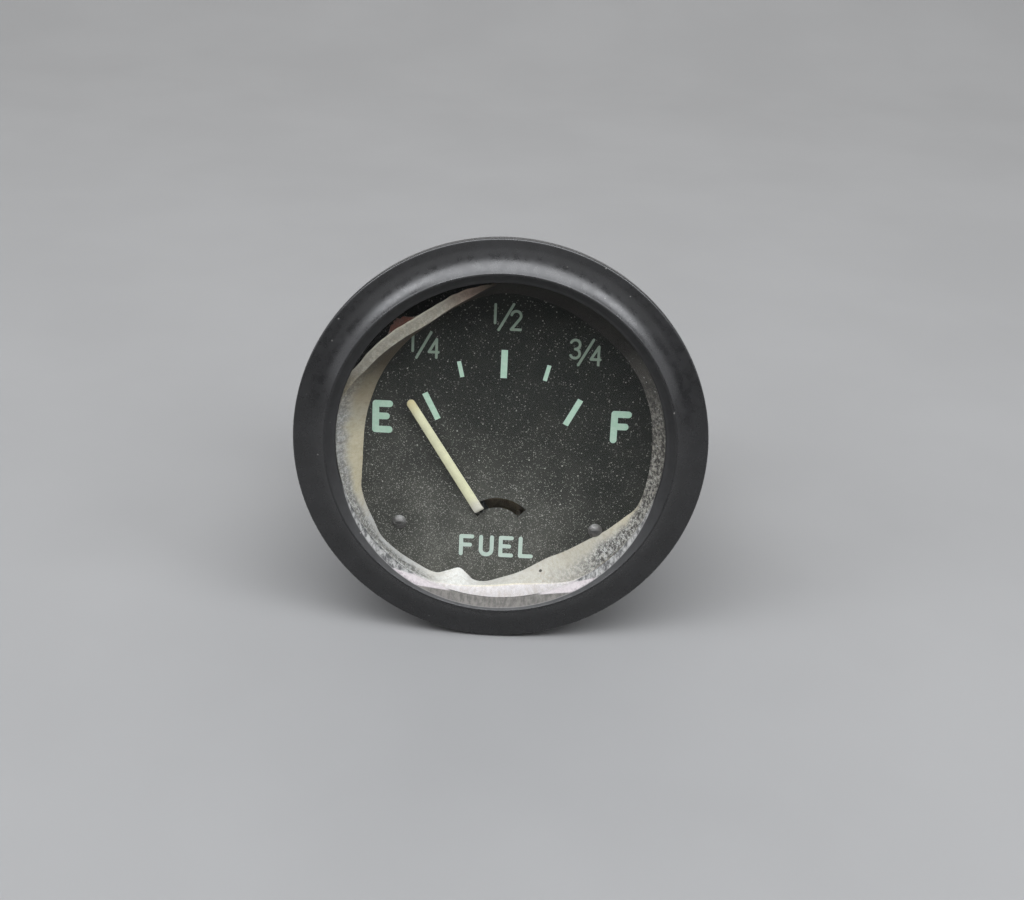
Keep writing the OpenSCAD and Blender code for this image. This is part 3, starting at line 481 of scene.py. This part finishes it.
def pointer_paint():
    """Aged cream paint, greyer at the root and browner at the tip, and dark from the bend on."""
    s = Shader("pointer_paint")
    x, y, z = s.axes()
    along = s.away((0, 0, PIVOT_Z), FLAT)
    aged = s.span(s.noise(0.8, 4, 0.6), 0.35, 0.7)
    colour = s.mix(aged, (0.63, 0.617, 0.41), (0.555, 0.543, 0.36))
    colour = s.mix(s.span(along, 8, 5.5), colour, (0.54, 0.52, 0.44))
    colour = s.mix(s.span(along, 22, 25), colour, (0.51, 0.445, 0.248))
    grain = s.span(s.noise(6, 3, 0.7), 0.55, 0.8)
    colour = s.mix(s.times(grain, 0.3), colour, (0.29, 0.26, 0.172))
    behind = s.span(y, 0.66, 0.8)
    s.set(base_color=s.mix(behind, colour, (0.02, 0.02, 0.018)), roughness=0.6)
    s.bump(s.noise(4, 3), 0.03, 0.4)
    return s.material


def lining():
    """Aged strip: its tint and its dirt are painted on the mesh, and mottling and specks break them up; the
    tint also holds painted shade in the top of the well and on the strip's rear, and painted highlights on
    the flange's edges.
    """
    s = Shader("lining")
    tint = s.attribute("tint")
    dirt = s.attribute("dirt", "Fac")
    mottle = s.span(s.noise(2.0, 5, 0.8, s.moved(scale=(1, 0.6, 1))), 0.44, 0.54)
    fibres = s.span(s.noise(1, 4, 0.7, s.attribute("flow", "Vector")), 0.42, 0.68)
    fine = s.span(s.noise(5, 3, 0.8), 0.5, 0.62)
    grime = s.times(dirt, s.most(mottle, s.times(fine, 0.8)))
    stain = s.span(s.noise(0.6, 4, 0.6), 0.5, 0.72)
    aged = s.most(s.times(stain, 0.3), s.times(fibres, 0.42))
    colour = s.mix(aged, tint, s.shade(tint, (0.62, 0.55, 0.44)))
    colour = s.mix(grime, colour, (0.042, 0.038, 0.034))
    flecks = s.times(s.specks(2.6, 0.3, 0.3), s.span(dirt, 0.25, 0.8, 0, 0.8))
    colour = s.mix(flecks, colour, (0.66, 0.66, 0.64))
    spot_at = (6.9, 0.2, -20.8)
    spot = s.span(s.away(spot_at), 0.32, 0.18)
    colour = s.mix(spot, colour, (0.03, 0.025, 0.02))
    s.set(base_color=colour, roughness=0.62, specular_ior_level=0.35)
    s.bump(s.plus(s.times(fibres, 0.6), s.times(fine, 0.4)), 0.05, 0.5)
    return s.material


def winding_copper():
    """Fine enamelled wire, laid in turns across the coil."""
    s = Shader("winding_copper")
    turns = s.noise(9, 2, 0.5, s.moved(scale=(1, 0.1, 1)))
    s.set(base_color=s.mix(s.span(turns, 0.35, 0.65), (0.16, 0.05, 0.02), (0.6, 0.24, 0.1)),
          roughness=0.35, metallic=0.8)
    s.bump(turns, 0.05, 0.6)
    return s.material


MATERIALS = {
    "bezel_enamel": bezel_enamel(),
    "case_enamel": case_enamel(),
    "lens_glass": lens_glass(),
    "gasket_rubber": plain("gasket_rubber", (0.03, 0.025, 0.022), (0.06, 0.05, 0.045), 0.8),
    "spacer_metal": plain("spacer_metal", (0.22, 0.19, 0.15), (0.5, 0.45, 0.37), 0.55, 1.2),
    "lining": lining(),
    "dial_paint": dial_paint(),
    "marking_paint": marking_paint(),
    "dark_steel": metal("dark_steel", (0.2, 0.195, 0.19), (0.1, 0.095, 0.09), 0.5, stain=0.8),
    # The movement's brass is darker than bright brass: painted shade for the movement seen through the
    # dial's slot
    "movement_brass": metal("movement_brass", (0.28, 0.22, 0.13), (0.13, 0.105, 0.07), 0.45,
                            (1, 0.15, 1)),
    "plated_steel": metal("plated_steel", (0.56, 0.55, 0.51), (0.3, 0.28, 0.24), 0.34, (1, 0.3, 1)),
    "core_iron": metal("core_iron", (0.2, 0.19, 0.18), (0.1, 0.075, 0.06), 0.5, stain=1.2),
    "phenolic": plain("phenolic", (0.1, 0.034, 0.018), (0.17, 0.06, 0.032), 0.48, 1.5, 0.02),
    "winding_copper": winding_copper(),
    "lead_cloth": plain("lead_cloth", (0.2, 0.035, 0.025), (0.34, 0.075, 0.045), 0.8, 7, 0.06),
    "terminal_brass": metal("terminal_brass", (0.52, 0.36, 0.15), (0.2, 0.14, 0.07), 0.36,
                            (1, 0.3, 1), 1.0),
    "pointer_paint": pointer_paint(),
    "clamp_steel": metal("clamp_steel", (0.44, 0.43, 0.4), (0.22, 0.19, 0.16), 0.4, (0.2, 1, 1), 1.0),
}


def dress_nodes():
    """Every node of the frame takes the material of its slot."""
    for part in frame["record"]["subparts"]:
        mesh = NODES[part["node"]].data
        mesh.materials.clear()
        mesh.materials.append(MATERIALS[part["material_slot"]])


# Bezel
def make_bezel():
    """One turned ring: a rim with a tapered rear, a hollow flare, a crisp crest and a lip over the lens."""
    slope = 45
    rim_y = -3.745
    rim_round = 0.35
    lens_r = 26.4
    lens_y = -3.6
    groove_r = 28.4
    groove_y = -1.6
    rear_r = 26.05
    rear_y = -0.8
    profile = [(rear_r, -0.15), (26.2, 0.0), (29.2, 0.0), (29.36, -0.12), (30.08, -2.28), (30.15, -2.5)]
    profile += arc((29.8, rim_y + rim_round), rim_round, 0, -90, 8)
    profile += arc((29.508, -9.358), 5.56, 95.5, 90 + slope, 20)
    profile += arc((CREST_R, CREST_Y), CREST_ROUND, slope - 90, -140, 12)
    profile += [(24.8, -4.95), (24.4, -4.5)]
    profile += arc((24.22, -4.02), 0.3, -105, -180, 6)
    profile += [(LIP_R, lens_y), (lens_r, lens_y), (lens_r, groove_y)]
    profile += [(groove_r, groove_y), (groove_r, rear_y), (rear_r, rear_y)]
    make_piece("bezel_ring", lathe(profile, 256), "instrument", "bezel_enamel", 40, "bezel")


# Lining strip: angle clockwise from the top against radius, as read off
STRIP_BACK = (
    (0, 21.4), (20, 21.2), (38, 21.1), (64, 22.0), (79, 22.3), (94, 22.5), (104, 22.8), (116, 23.2),
    (123, 22.4), (130, 21.8), (139, 21.0), (149, 20.7), (159, 20.7), (168, 21.6), (178, 22.7),
    (184, 23.4), (188, 23.4), (191, 22.6), (194.5, 22.0), (198, 22.9), (202, 24.0), (210, 24.1),
    (226, 24.1), (233, 23.4), (246, 22.5), (251, 21.7), (260, 20.7), (275, 20.1), (295, 19.8),
    (314, 19.7), (326, 19.8), (338, 20.3), (350, 21.0),
)
STRIP_FRONT = (
    (0, 23.7), (20, 24.0), (60, 24.1), (100, 24.1), (138, 24.1), (147, 24.3), (152, 24.2), (161, 23.3),
    (170, 22.65), (178, 22.75), (189, 23.3), (197, 23.85), (204, 24.3), (230, 24.1), (265, 24.1),
    (284, 23.7), (290, 23.0), (297, 22.05), (307, 21.3), (316, 20.7), (324, 20.35), (332, 20.55),
    (340, 21.1), (347, 21.85), (354, 22.9),
)
STRIP_FRONT_Y = -2.05
STRIP_BACK_Y = 1.3
STRIP_T = 0.3
FLANGE_W = 1.4
WELL_LIMIT = 24.65

# Places on the strip, as angles clockwise from the top
STRAIGHT = 172
SET_BACK = 178
# Where the painted highlight on the flange's outer edge is strongest
EDGE_HIGHLIGHT = 318
TORN_TAB = 318.5
RIBBON = 322
RIBBON_END = 357

# Colours of the strip
# Painted shade: the strip's brown in deep shade at the top of the well
SHADE_BLACK = Vector((0.0101, 0.0079, 0.0058))
# Painted shade: the strip's brown in part shade
SHADED_UMBER = Vector((0.065, 0.049, 0.031))
RUST = Vector((0.122, 0.04, 0.025))
ROSE = Vector((0.245, 0.173, 0.137))
TAN = Vector((0.245, 0.209, 0.144))
# Painted shade: fawn in half shade under the ribbon
HALF_SHADED_FAWN = Vector((0.158, 0.137, 0.094))
BUFF = Vector((0.36, 0.331, 0.252))
CREAM = Vector((0.518, 0.468, 0.338))
PALE = Vector((0.382, 0.36, 0.302))
WHITE = Vector((0.562, 0.547, 0.511))
# At the bump just left of the bottom: partly the strip's white, partly a painted highlight
SNOW = Vector((0.648, 0.641, 0.612))
ASH = Vector((0.432, 0.432, 0.418))
PINK = Vector((0.662, 0.626, 0.626))

# Where the colours lie: angle clockwise from the top against a colour; the dark keys from about 290° round
# to 75° are painted shade in the top of the well
STRIP_FACE = (
    (0, SHADE_BLACK), (52, SHADE_BLACK), (72, SHADED_UMBER), (92, TAN), (116, CREAM), (132, PALE), (150, PALE), (182, WHITE),
    (190, SNOW), (198, SNOW), (204, WHITE), (212, ASH), (234, ASH), (248, CREAM), (267, CREAM),
    (277, BUFF), (285, TAN), (293, HALF_SHADED_FAWN), (301, SHADED_UMBER), (340, SHADED_UMBER), (352, SHADE_BLACK),
)
STRIP_FLANGE = (
    (0, SHADE_BLACK), (55, SHADE_BLACK), (75, SHADED_UMBER), (100, ASH), (140, PALE), (150, PINK), (202, PINK), (208, ASH),
    (278, ASH), (287, TAN), (296, PALE), (334, PALE), (346, ROSE), (354, SHADED_UMBER),
)

# How much ash and grime lie on it, and how far back they reach: angle against an amount or a depth
STRIP_ASH = (
    (0, 0.0), (52, 0.0), (66, 0.2), (82, 0.5), (108, 0.75), (135, 0.9), (150, 0.35), (162, 0.0),
    (198, 0.0), (212, 0.8), (275, 1.0), (288, 0.2), (296, 0.0),
)
STRIP_GRIME = (
    (0, 0.1), (50, 0.15), (68, 0.8), (84, 0.95), (138, 0.9), (150, 0.35), (165, 0.05), (200, 0.1),
    (212, 0.75), (240, 0.7), (262, 0.5), (280, 0.5), (292, 0.45), (350, 0.3),
)
STRIP_LIMIT = (
    (0, 2.0), (60, 2.6), (108, 2.4), (122, 0.9), (140, 0.4), (165, 0.2), (205, 0.6), (228, 0.8),
    (250, 0.1), (284, -0.2),
)


def along_points(points, angle):
    """Smooth periodic curve through pairs of angle and value."""
    count = len(points)
    i = max((k for k in range(count) if points[k][0] <= angle), default=count - 1)
    spread = [points[(i + k) % count] for k in (-1, 0, 1, 2)]
    x = [spread[1][0] + (p[0] - spread[1][0] + 180) % 360 - 180 for p in spread]
    y = [p[1] for p in spread]
    width = x[2] - x[1]
    t = ((angle - x[1]) % 360) / width
    slope_a = (y[2] - y[0]) / (x[2] - x[0]) * width
    slope_b = (y[3] - y[1]) / (x[3] - x[1]) * width
    return ((2 * t ** 3 - 3 * t ** 2 + 1) * y[1] + (t ** 3 - 2 * t ** 2 + t) * slope_a
            + (-2 * t ** 3 + 3 * t ** 2) * y[2] + (t ** 3 - t ** 2) * slope_b)


def near(angle, middle, half):
    """One at the middle angle, fading to nothing at half a spread on each side."""
    gap = abs((angle - middle + 180) % 360 - 180)
    return 0.5 + 0.5 * math.cos(math.pi * min(gap / half, 1))


def ruffle(angle, frequency, seed):
    """Small smooth unevenness round the strip."""
    a = math.radians(angle)
    return noise.noise(Vector((frequency * math.cos(a), frequency * math.sin(a), seed)))


def keyed(keys, angle):
    """The colour or amount at an angle, between its neighbours."""
    for i, (start, value) in enumerate(keys):
        end, after = keys[(i + 1) % len(keys)]
        width = (end - start) % 360
        gap = (angle - start) % 360
        if gap < width:
            return value + (after - value) * (gap / width)


def strip_station(angle):
    """One section of the strip: points as radius and depth, each with its tint and its dirt."""
    back = along_points(STRIP_BACK, angle) + 0.05 * ruffle(angle, 9, 1)
    front = along_points(STRIP_FRONT, angle) + 0.06 * ruffle(angle, 7, 2)
    front_y = STRIP_FRONT_Y + 0.8 * near(angle, SET_BACK, 40)
    tab = near(angle, TORN_TAB, 7.5)
    torn = 1.15 * tab * (1 + 0.5 * ruffle(angle, 60, 6))
    wide = FLANGE_W + 0.4 * near(angle, RIBBON, 36) - near(angle, RIBBON_END, 14)
    wide += 0.9 * near(angle, SET_BACK, 44) + 0.12 * ruffle(angle, 16, 3)
    outer = max(min(front + wide, WELL_LIMIT), front + 0.15)
    face = keyed(STRIP_FACE, angle)
    flange = keyed(STRIP_FLANGE, angle)
    ash = keyed(STRIP_ASH, angle)
    grime = keyed(STRIP_GRIME, angle)
    limit = keyed(STRIP_LIMIT, angle)

    # The face, from the dial to the front edge
    out = []
    rows = 9
    for i in range(rows + 1):
        t = i / rows
        bow = 0.18 * math.sin(math.pi * t) * (1 - near(angle, STRAIGHT, 70))
        y = STRIP_BACK_Y + (front_y + 0.12 - STRIP_BACK_Y) * t
        fore = min(max((limit - y) / 1.1 + 0.4 * ruffle(angle, 12, 4), 0), 1)
        tint = face.lerp(ASH, ash * fore)
        out.append((back + (front - back) * t + bow, y, tint, grime * fore + 0.06))

    # The flange, outward from the front edge, with painted highlights: a cream line along the fold low
    # down, the fold a tenth lighter, and the outer edge lighter, most of all on the ribbon at the upper
    # left
    edge = 0.1
    edge_highlight = 0.8 * near(angle, EDGE_HIGHLIGHT, 40)
    fold_highlight = 0.8 * near(angle, SET_BACK, 34)
    for t in (0, 0.1, 0.4, 0.8, 1):
        r = front + edge + (outer - front - edge) * t
        y = front_y + (STRIP_FRONT_Y - front_y) * t
        tint = flange.lerp(CREAM * 1.3, fold_highlight * max(1 - 10 * t, 0))
        tint = tint * (1.1 - 0.2 * t + (0.25 + edge_highlight) * t ** 8)
        out.append((r, y, tint, 0.6 * grime * (1 - t ** 4) + 0.1))

    # The torn tab behind the flange, then the rear of the strip, in the face's tint at six tenths as
    # painted shade
    behind = flange.lerp(RUST, min(3 * tab, 1))
    reach = min(outer + torn, WELL_LIMIT)
    out.append((outer + 0.01, STRIP_FRONT_Y + 0.12, behind, 0.2))
    out.append((reach + 0.02, STRIP_FRONT_Y + 0.16, behind, 0.4))
    rear = 0.6 * face
    rear_dirt = 0.3
    out.append((reach + 0.01, STRIP_FRONT_Y + STRIP_T, rear, rear_dirt))
    out.append((front + STRIP_T, front_y + STRIP_T, rear, rear_dirt))
    out.append((0.5 * (front + back) + STRIP_T, 0.5 * (front_y + STRIP_BACK_Y), rear, rear_dirt))
    out.append((min(back + STRIP_T, WELL_LIMIT), STRIP_BACK_Y, rear, rear_dirt))
    return out


def make_lining():
    """The strip's sections as rings, with the tint, the dirt and the run of the fibres on the mesh."""
    count = 480
    fibre_run = 40
    fibre_step = 0.5
    stations = [strip_station(360 * i / count) for i in range(count)]
    rings = []
    tints = []
    dirts = []
    flows = []
    for k in range(len(stations[0])):
        one = []
        for i, station in enumerate(stations):
            r, y, tint, dirt = station[k]
            a = TURN * i / count
            one.append((r * math.sin(a), y, r * math.cos(a)))
            tints += (*tint, 1)
            dirts.append(dirt)
            flows += (fibre_run * math.sin(a), fibre_run * math.cos(a), fibre_step * k)
        rings.append(one)
    piece = make_piece("lining_curl", skin(rings, True), "instrument", "lining", 50, "lining_strip")
    tint_layer = piece.data.attributes.new("tint", "FLOAT_COLOR", "POINT")
    tint_layer.data.foreach_set("color", tints)
    dirt_layer = piece.data.attributes.new("dirt", "FLOAT", "POINT")
    dirt_layer.data.foreach_set("value", dirts)
    flow_layer = piece.data.attributes.new("flow", "FLOAT_VECTOR", "POINT")
    flow_layer.data.foreach_set("vector", flows)


# Pointer
def make_pointer():
    """The bent strip as one sweep from tip to ring, with its ring and tail behind the dial."""
    front_y = 0.4
    rear_y = 3.7
    tip_r = 25.0
    tip_round = 0.62
    tip_half = 0.625
    least_half = 0.12
    foot_half = 0.75
    leg_r = 5.1
    bend_round = 0.3
    half_t = 0.2
    corner = 0.09
    ring_r = 2.1
    bore_r = 1.34
    joined_r = 1.9
    tail_half = 0.5
    tail_r = 5.0

    # Path as distance from the pivot, depth and half width
    path = []
    for sine, cosine in quarter(6)[::-1]:
        path.append((tip_r - tip_round * (1 - sine), front_y, max(tip_half * cosine, least_half)))
    path += [(20.0, front_y, 0.65), (14.0, front_y, 0.69), (9.0, front_y, 0.72), (5.7, front_y, foot_half)]
    bend = quarter(5)
    for sine, cosine in bend:
        path.append((leg_r + bend_round * (1 - sine), front_y + bend_round * (1 - cosine), foot_half))
    for sine, cosine in bend:
        path.append((leg_r - bend_round * (1 - cosine), rear_y - bend_round * (1 - sine), foot_half))
    path.append((joined_r, rear_y, foot_half))

    # A section with small corners, square to the path
    rings = []
    for i, (r, y, half) in enumerate(path):
        before = path[max(i - 1, 0)]
        after = path[min(i + 1, len(path) - 1)]
        way = Vector((after[0] - before[0], after[1] - before[1])).normalized()
        over = Vector((-way.y, way.x))
        section = [(half, half_t - corner), (half - corner, half_t),
                   (corner - half, half_t), (-half, half_t - corner),
                   (-half, corner - half_t), (corner - half, -half_t),
                   (half - corner, -half_t), (half, corner - half_t)]
        rings.append([(x, y + over.y * u, r + over.x * u) for x, u in section])
    low_y = rear_y - half_t
    high_y = rear_y + half_t
    hub_ring = lathe([(ring_r, low_y), (ring_r, high_y), (bore_r, high_y), (bore_r, low_y)], 48)
    tail = []
    for y in (low_y, high_y):
        tail.append([(tail_half, y, -tail_r), (tail_half, y, -joined_r),
                     (-tail_half, y, -joined_r), (-tail_half, y, -tail_r)])
    points, faces = merged([skin(rings, False), hub_ring, skin(tail, False)])
    turn = Matrix.Rotation(-REST_ANGLE, 3, "Y")
    placed = [turn @ Vector(p) + Vector((0, 0, PIVOT_Z)) for p in points]
    make_piece("pointer_strip", (placed, faces), "pointer_set", "pointer_paint", 50, "pointer")


# Fittings at the rear
def thread_rings(x, z, start, end, count):
    """Rings of a screw thread from start to end, with a chamfered end."""
    depth = 0.42
    rows_a_turn = 8
    chamfer = 0.75
    chamfer_length = 0.6
    rows = int((end - start) / THREAD_PITCH * rows_a_turn)
    rings = []
    for i in range(rows + 1):
        y = start + (end - start) * i / rows
        ease = min(1, (end - y) / chamfer_length)

        def radius(angle, y=y, ease=ease):
            phase = (y / THREAD_PITCH - angle / TURN) % 1
            return THREAD_R - max(depth * abs(2 * phase - 1), chamfer * (1 - ease))
        rings.append(ring(radius, y, count, x, z))
    return rings


def make_studs(name, slot, node, spots, head, start, end):
    """Headed studs with a thread, at spots of x and z. The head is pairs of radius and depth."""
    count = 40
    shapes = []
    for x, z in spots:
        rings = [ring(r, y, count, x, z) for r, y in head]
        shapes.append(skin(rings + thread_rings(x, z, start, end, count), False))
    make_piece(name, merged(shapes), "instrument", slot, 50, node)


def make_hex_nuts():
    """Hexagon nuts with chamfered corners and a chamfered bore."""
    corner_r = 4.8
    flat = corner_r * math.cos(math.pi / 6)
    face_r = 0.95 * flat
    spread = 1.7
    low = 34.9
    high = 37.9
    mouth_r = 2.35
    bore_r = 2.11
    chamfer = 0.24
    drops = (0.0, 0.1, 0.25, 0.45, 0.7)

    def outline(drop):
        def radius(angle):
            side = (angle + math.pi / 2) % (math.pi / 3) - math.pi / 6
            return min(flat / math.cos(side), face_r + drop * spread)
        return radius
    profile = [(mouth_r, low)] + [(outline(d), low + d) for d in drops]
    profile += [(outline(d), high - d) for d in drops[::-1]]
    profile += [(mouth_r, high), (bore_r, high - chamfer), (bore_r, low + chamfer)]
    shapes = [lathe(profile, 96, 0, side * TERMINAL_Z) for side in SIDES]
    make_piece("terminal_hex_nuts", merged(shapes), "instrument", "terminal_brass", 28, "terminal_nuts")


def make_thumb_nut(side, name, body, node):
    """A knurled head on a plain collar."""
    ridges = 28
    head_r = 5
    crown_r = 4.7
    ridge_depth = 0.35

    def knurl(limit):
        def radius(angle):
            phase = (angle * ridges / TURN) % 1
            return min(head_r - ridge_depth * abs(2 * phase - 1) ** 1.3, limit)
        return radius
    profile = [(2.4, 43.8), (3.7, 43.8), (3.9, 44.0), (3.9, 45.6), (4.0, 45.8), (4.35, 45.8)]
    profile += [(knurl(crown_r), 46.0), (knurl(head_r), 46.35)]
    profile += [(knurl(head_r), 49.25), (knurl(crown_r), 49.6)]
    profile += [(4.35, 49.8), (3.3, 49.8), (3.1, 49.6), (2.5, 49.6), (2.13, 49.3), (2.13, 44.1)]
    make_piece(name, lathe(profile, ridges * 6, side * STUD_X), body, "terminal_brass", 32, node)


def rounded_copy(name, node, body, slot, width):
    """A copy of a node with its sharp edges rounded, which stands for the node."""
    sharp_angle = 35
    flat_angle = 0.5
    weld = 0.002
    mesh = NODES[node].data.copy()
    mesh.name = name
    work = bmesh.new()
    work.from_mesh(mesh)
    bmesh.ops.remove_doubles(work, verts=work.verts, dist=weld * MM)
    bmesh.ops.dissolve_limit(work, angle_limit=math.radians(flat_angle), verts=work.verts,
                             edges=work.edges)
    paired = [e for e in work.edges if len(e.link_faces) == 2]
    sharp = [e for e in paired if e.calc_face_angle(0) > math.radians(sharp_angle)]
    bmesh.ops.bevel(work, geom=sharp, offset=width * MM, offset_type="OFFSET", segments=2, profile=0.5,
                    affect="EDGES", clamp_overlap=False)
    bmesh.ops.triangulate(work, faces=[f for f in work.faces if len(f.verts) > 4])
    work.to_mesh(mesh)
    work.free()
    add_piece(name, mesh, body, slot, sharp_angle, node)


def make_fittings():
    make_studs("terminal_threads", "terminal_brass", "terminal_studs",
               [(0, side * TERMINAL_Z) for side in SIDES],
               ((4.0, 29.2), (4.0, 30.8), (1.88, 30.8), (1.88, 37.95)), 38.0, 47.4)
    make_studs("clamp_threads", "plated_steel", "clamp_studs",
               [(side * STUD_X, 0) for side in SIDES],
               ((3.5, 31.0), (3.5, 32.0), (2.05, 32.0), (2.05, 33.2)), 33.3, 53.8)
    make_hex_nuts()
    make_thumb_nut(-1, "left_knurled_nut", "left_nut", "left_thumb_nut")
    make_thumb_nut(1, "right_knurled_nut", "right_nut", "right_thumb_nut")
    rounded_copy("clamp_strap", "clamp_bracket", "clamp", "clamp_steel", 0.2)


# Stage: the floor leans, because the case's foot stands higher than the rim's and behind it
FOOT_RISE = 4.15
FOOT_RUN = 24.5
FLOOR_TILT = math.atan2(FOOT_RISE, FOOT_RUN)
FLOOR_Z = -29.78


def make_stage():
    """A floor that touches the rim and the case, and sweeps up behind them."""
    half = 900
    front_y = -900
    bend_y = 330
    bend_r = 260
    top_z = 1200
    profile = [(front_y, 0.0), (bend_y, 0.0)]
    profile += [(bend_y + r, bend_r + z) for r, z in arc((0, 0), bend_r, -90, 0, 24)[1:]]
    profile.append((bend_y + bend_r, top_z))
    points = [Vector((x, y, z)) * MM for y, z in profile for x in (-half, half)]
    faces = [(2 * i, 2 * i + 1, 2 * i + 3, 2 * i + 2) for i in range(len(profile) - 1)]
    mesh = bpy.data.meshes.new("floor")
    mesh.from_pydata(points, [], faces)
    mesh.shade_smooth()
    floor = bpy.data.objects.new("floor", mesh)
    bpy.context.scene.collection.objects.link(floor)
    tilt = Matrix.Rotation(FLOOR_TILT, 4, "X")
    floor.matrix_world = Matrix.Translation(Vector((0, 0, FLOOR_Z)) * MM) @ tilt
    s = Shader("floor")
    cloud = s.span(s.noise(0.02, 3), 0.3, 0.7)
    s.set(base_color=s.mix(cloud, (0.245, 0.245, 0.2435), (0.257, 0.257, 0.2555)), roughness=0.85)
    mesh.materials.append(s.material)


def area_lamp(name, at, aim, width, height, watts, colour):
    data = bpy.data.lights.new(name, "AREA")
    data.shape = "RECTANGLE"
    data.size = width * MM
    data.size_y = height * MM
    data.energy = watts
    data.color = colour
    lamp = bpy.data.objects.new(name, data)
    bpy.context.scene.collection.objects.link(lamp)
    turn = (Vector(at) - Vector(aim)).to_track_quat("Z", "Y").to_matrix().to_4x4()
    lamp.matrix_world = Matrix.Translation(Vector(at) * MM) @ turn


def make_light():
    """A soft arch of lamps over the front, which the bezel's flare mirrors, and a low light all round."""
    world = bpy.data.worlds.new("world")
    bpy.context.scene.world = world
    world.use_nodes = True
    back = world.node_tree.nodes["Background"]
    back.inputs["Color"].default_value = (0.82, 0.84, 0.88, 1)
    back.inputs["Strength"].default_value = 0.24
    area_lamp("top_lamp", (0, -470, 600), (0, -470, 0), 1700, 400, 11.2, (0.95, 0.965, 1))
    area_lamp("crest_lamp", (0, -190, 620), (0, -190, 0), 800, 170, 2.0, (0.94, 0.96, 1))
    area_lamp("rear_lamp", (0, 380, 420), (0, 30, 0), 900, 300, 1.8, (1, 0.99, 0.98))
    for side, word in zip(SIDES, ("left", "right")):
        area_lamp(word + "_side_lamp", (750 * side, -60, 210), (0, 0, 30), 800, 360, 0.8, (0.95, 0.96, 1))
        area_lamp(word + "_wing_lamp", (610 * side, -370, 490), (0, 0, 0), 380, 300, 0.9, (0.94, 0.96, 1))
    area_lamp("front_lamp", (0, -650, 160), (0, 0, 20), 1000, 260, 0.55, (0.97, 0.98, 1))


make_camera()
dress_nodes()
make_bezel()
make_lining()
make_pointer()
make_fittings()
make_stage()
make_light()
bpy.context.scene.view_settings.view_transform = "Standard"
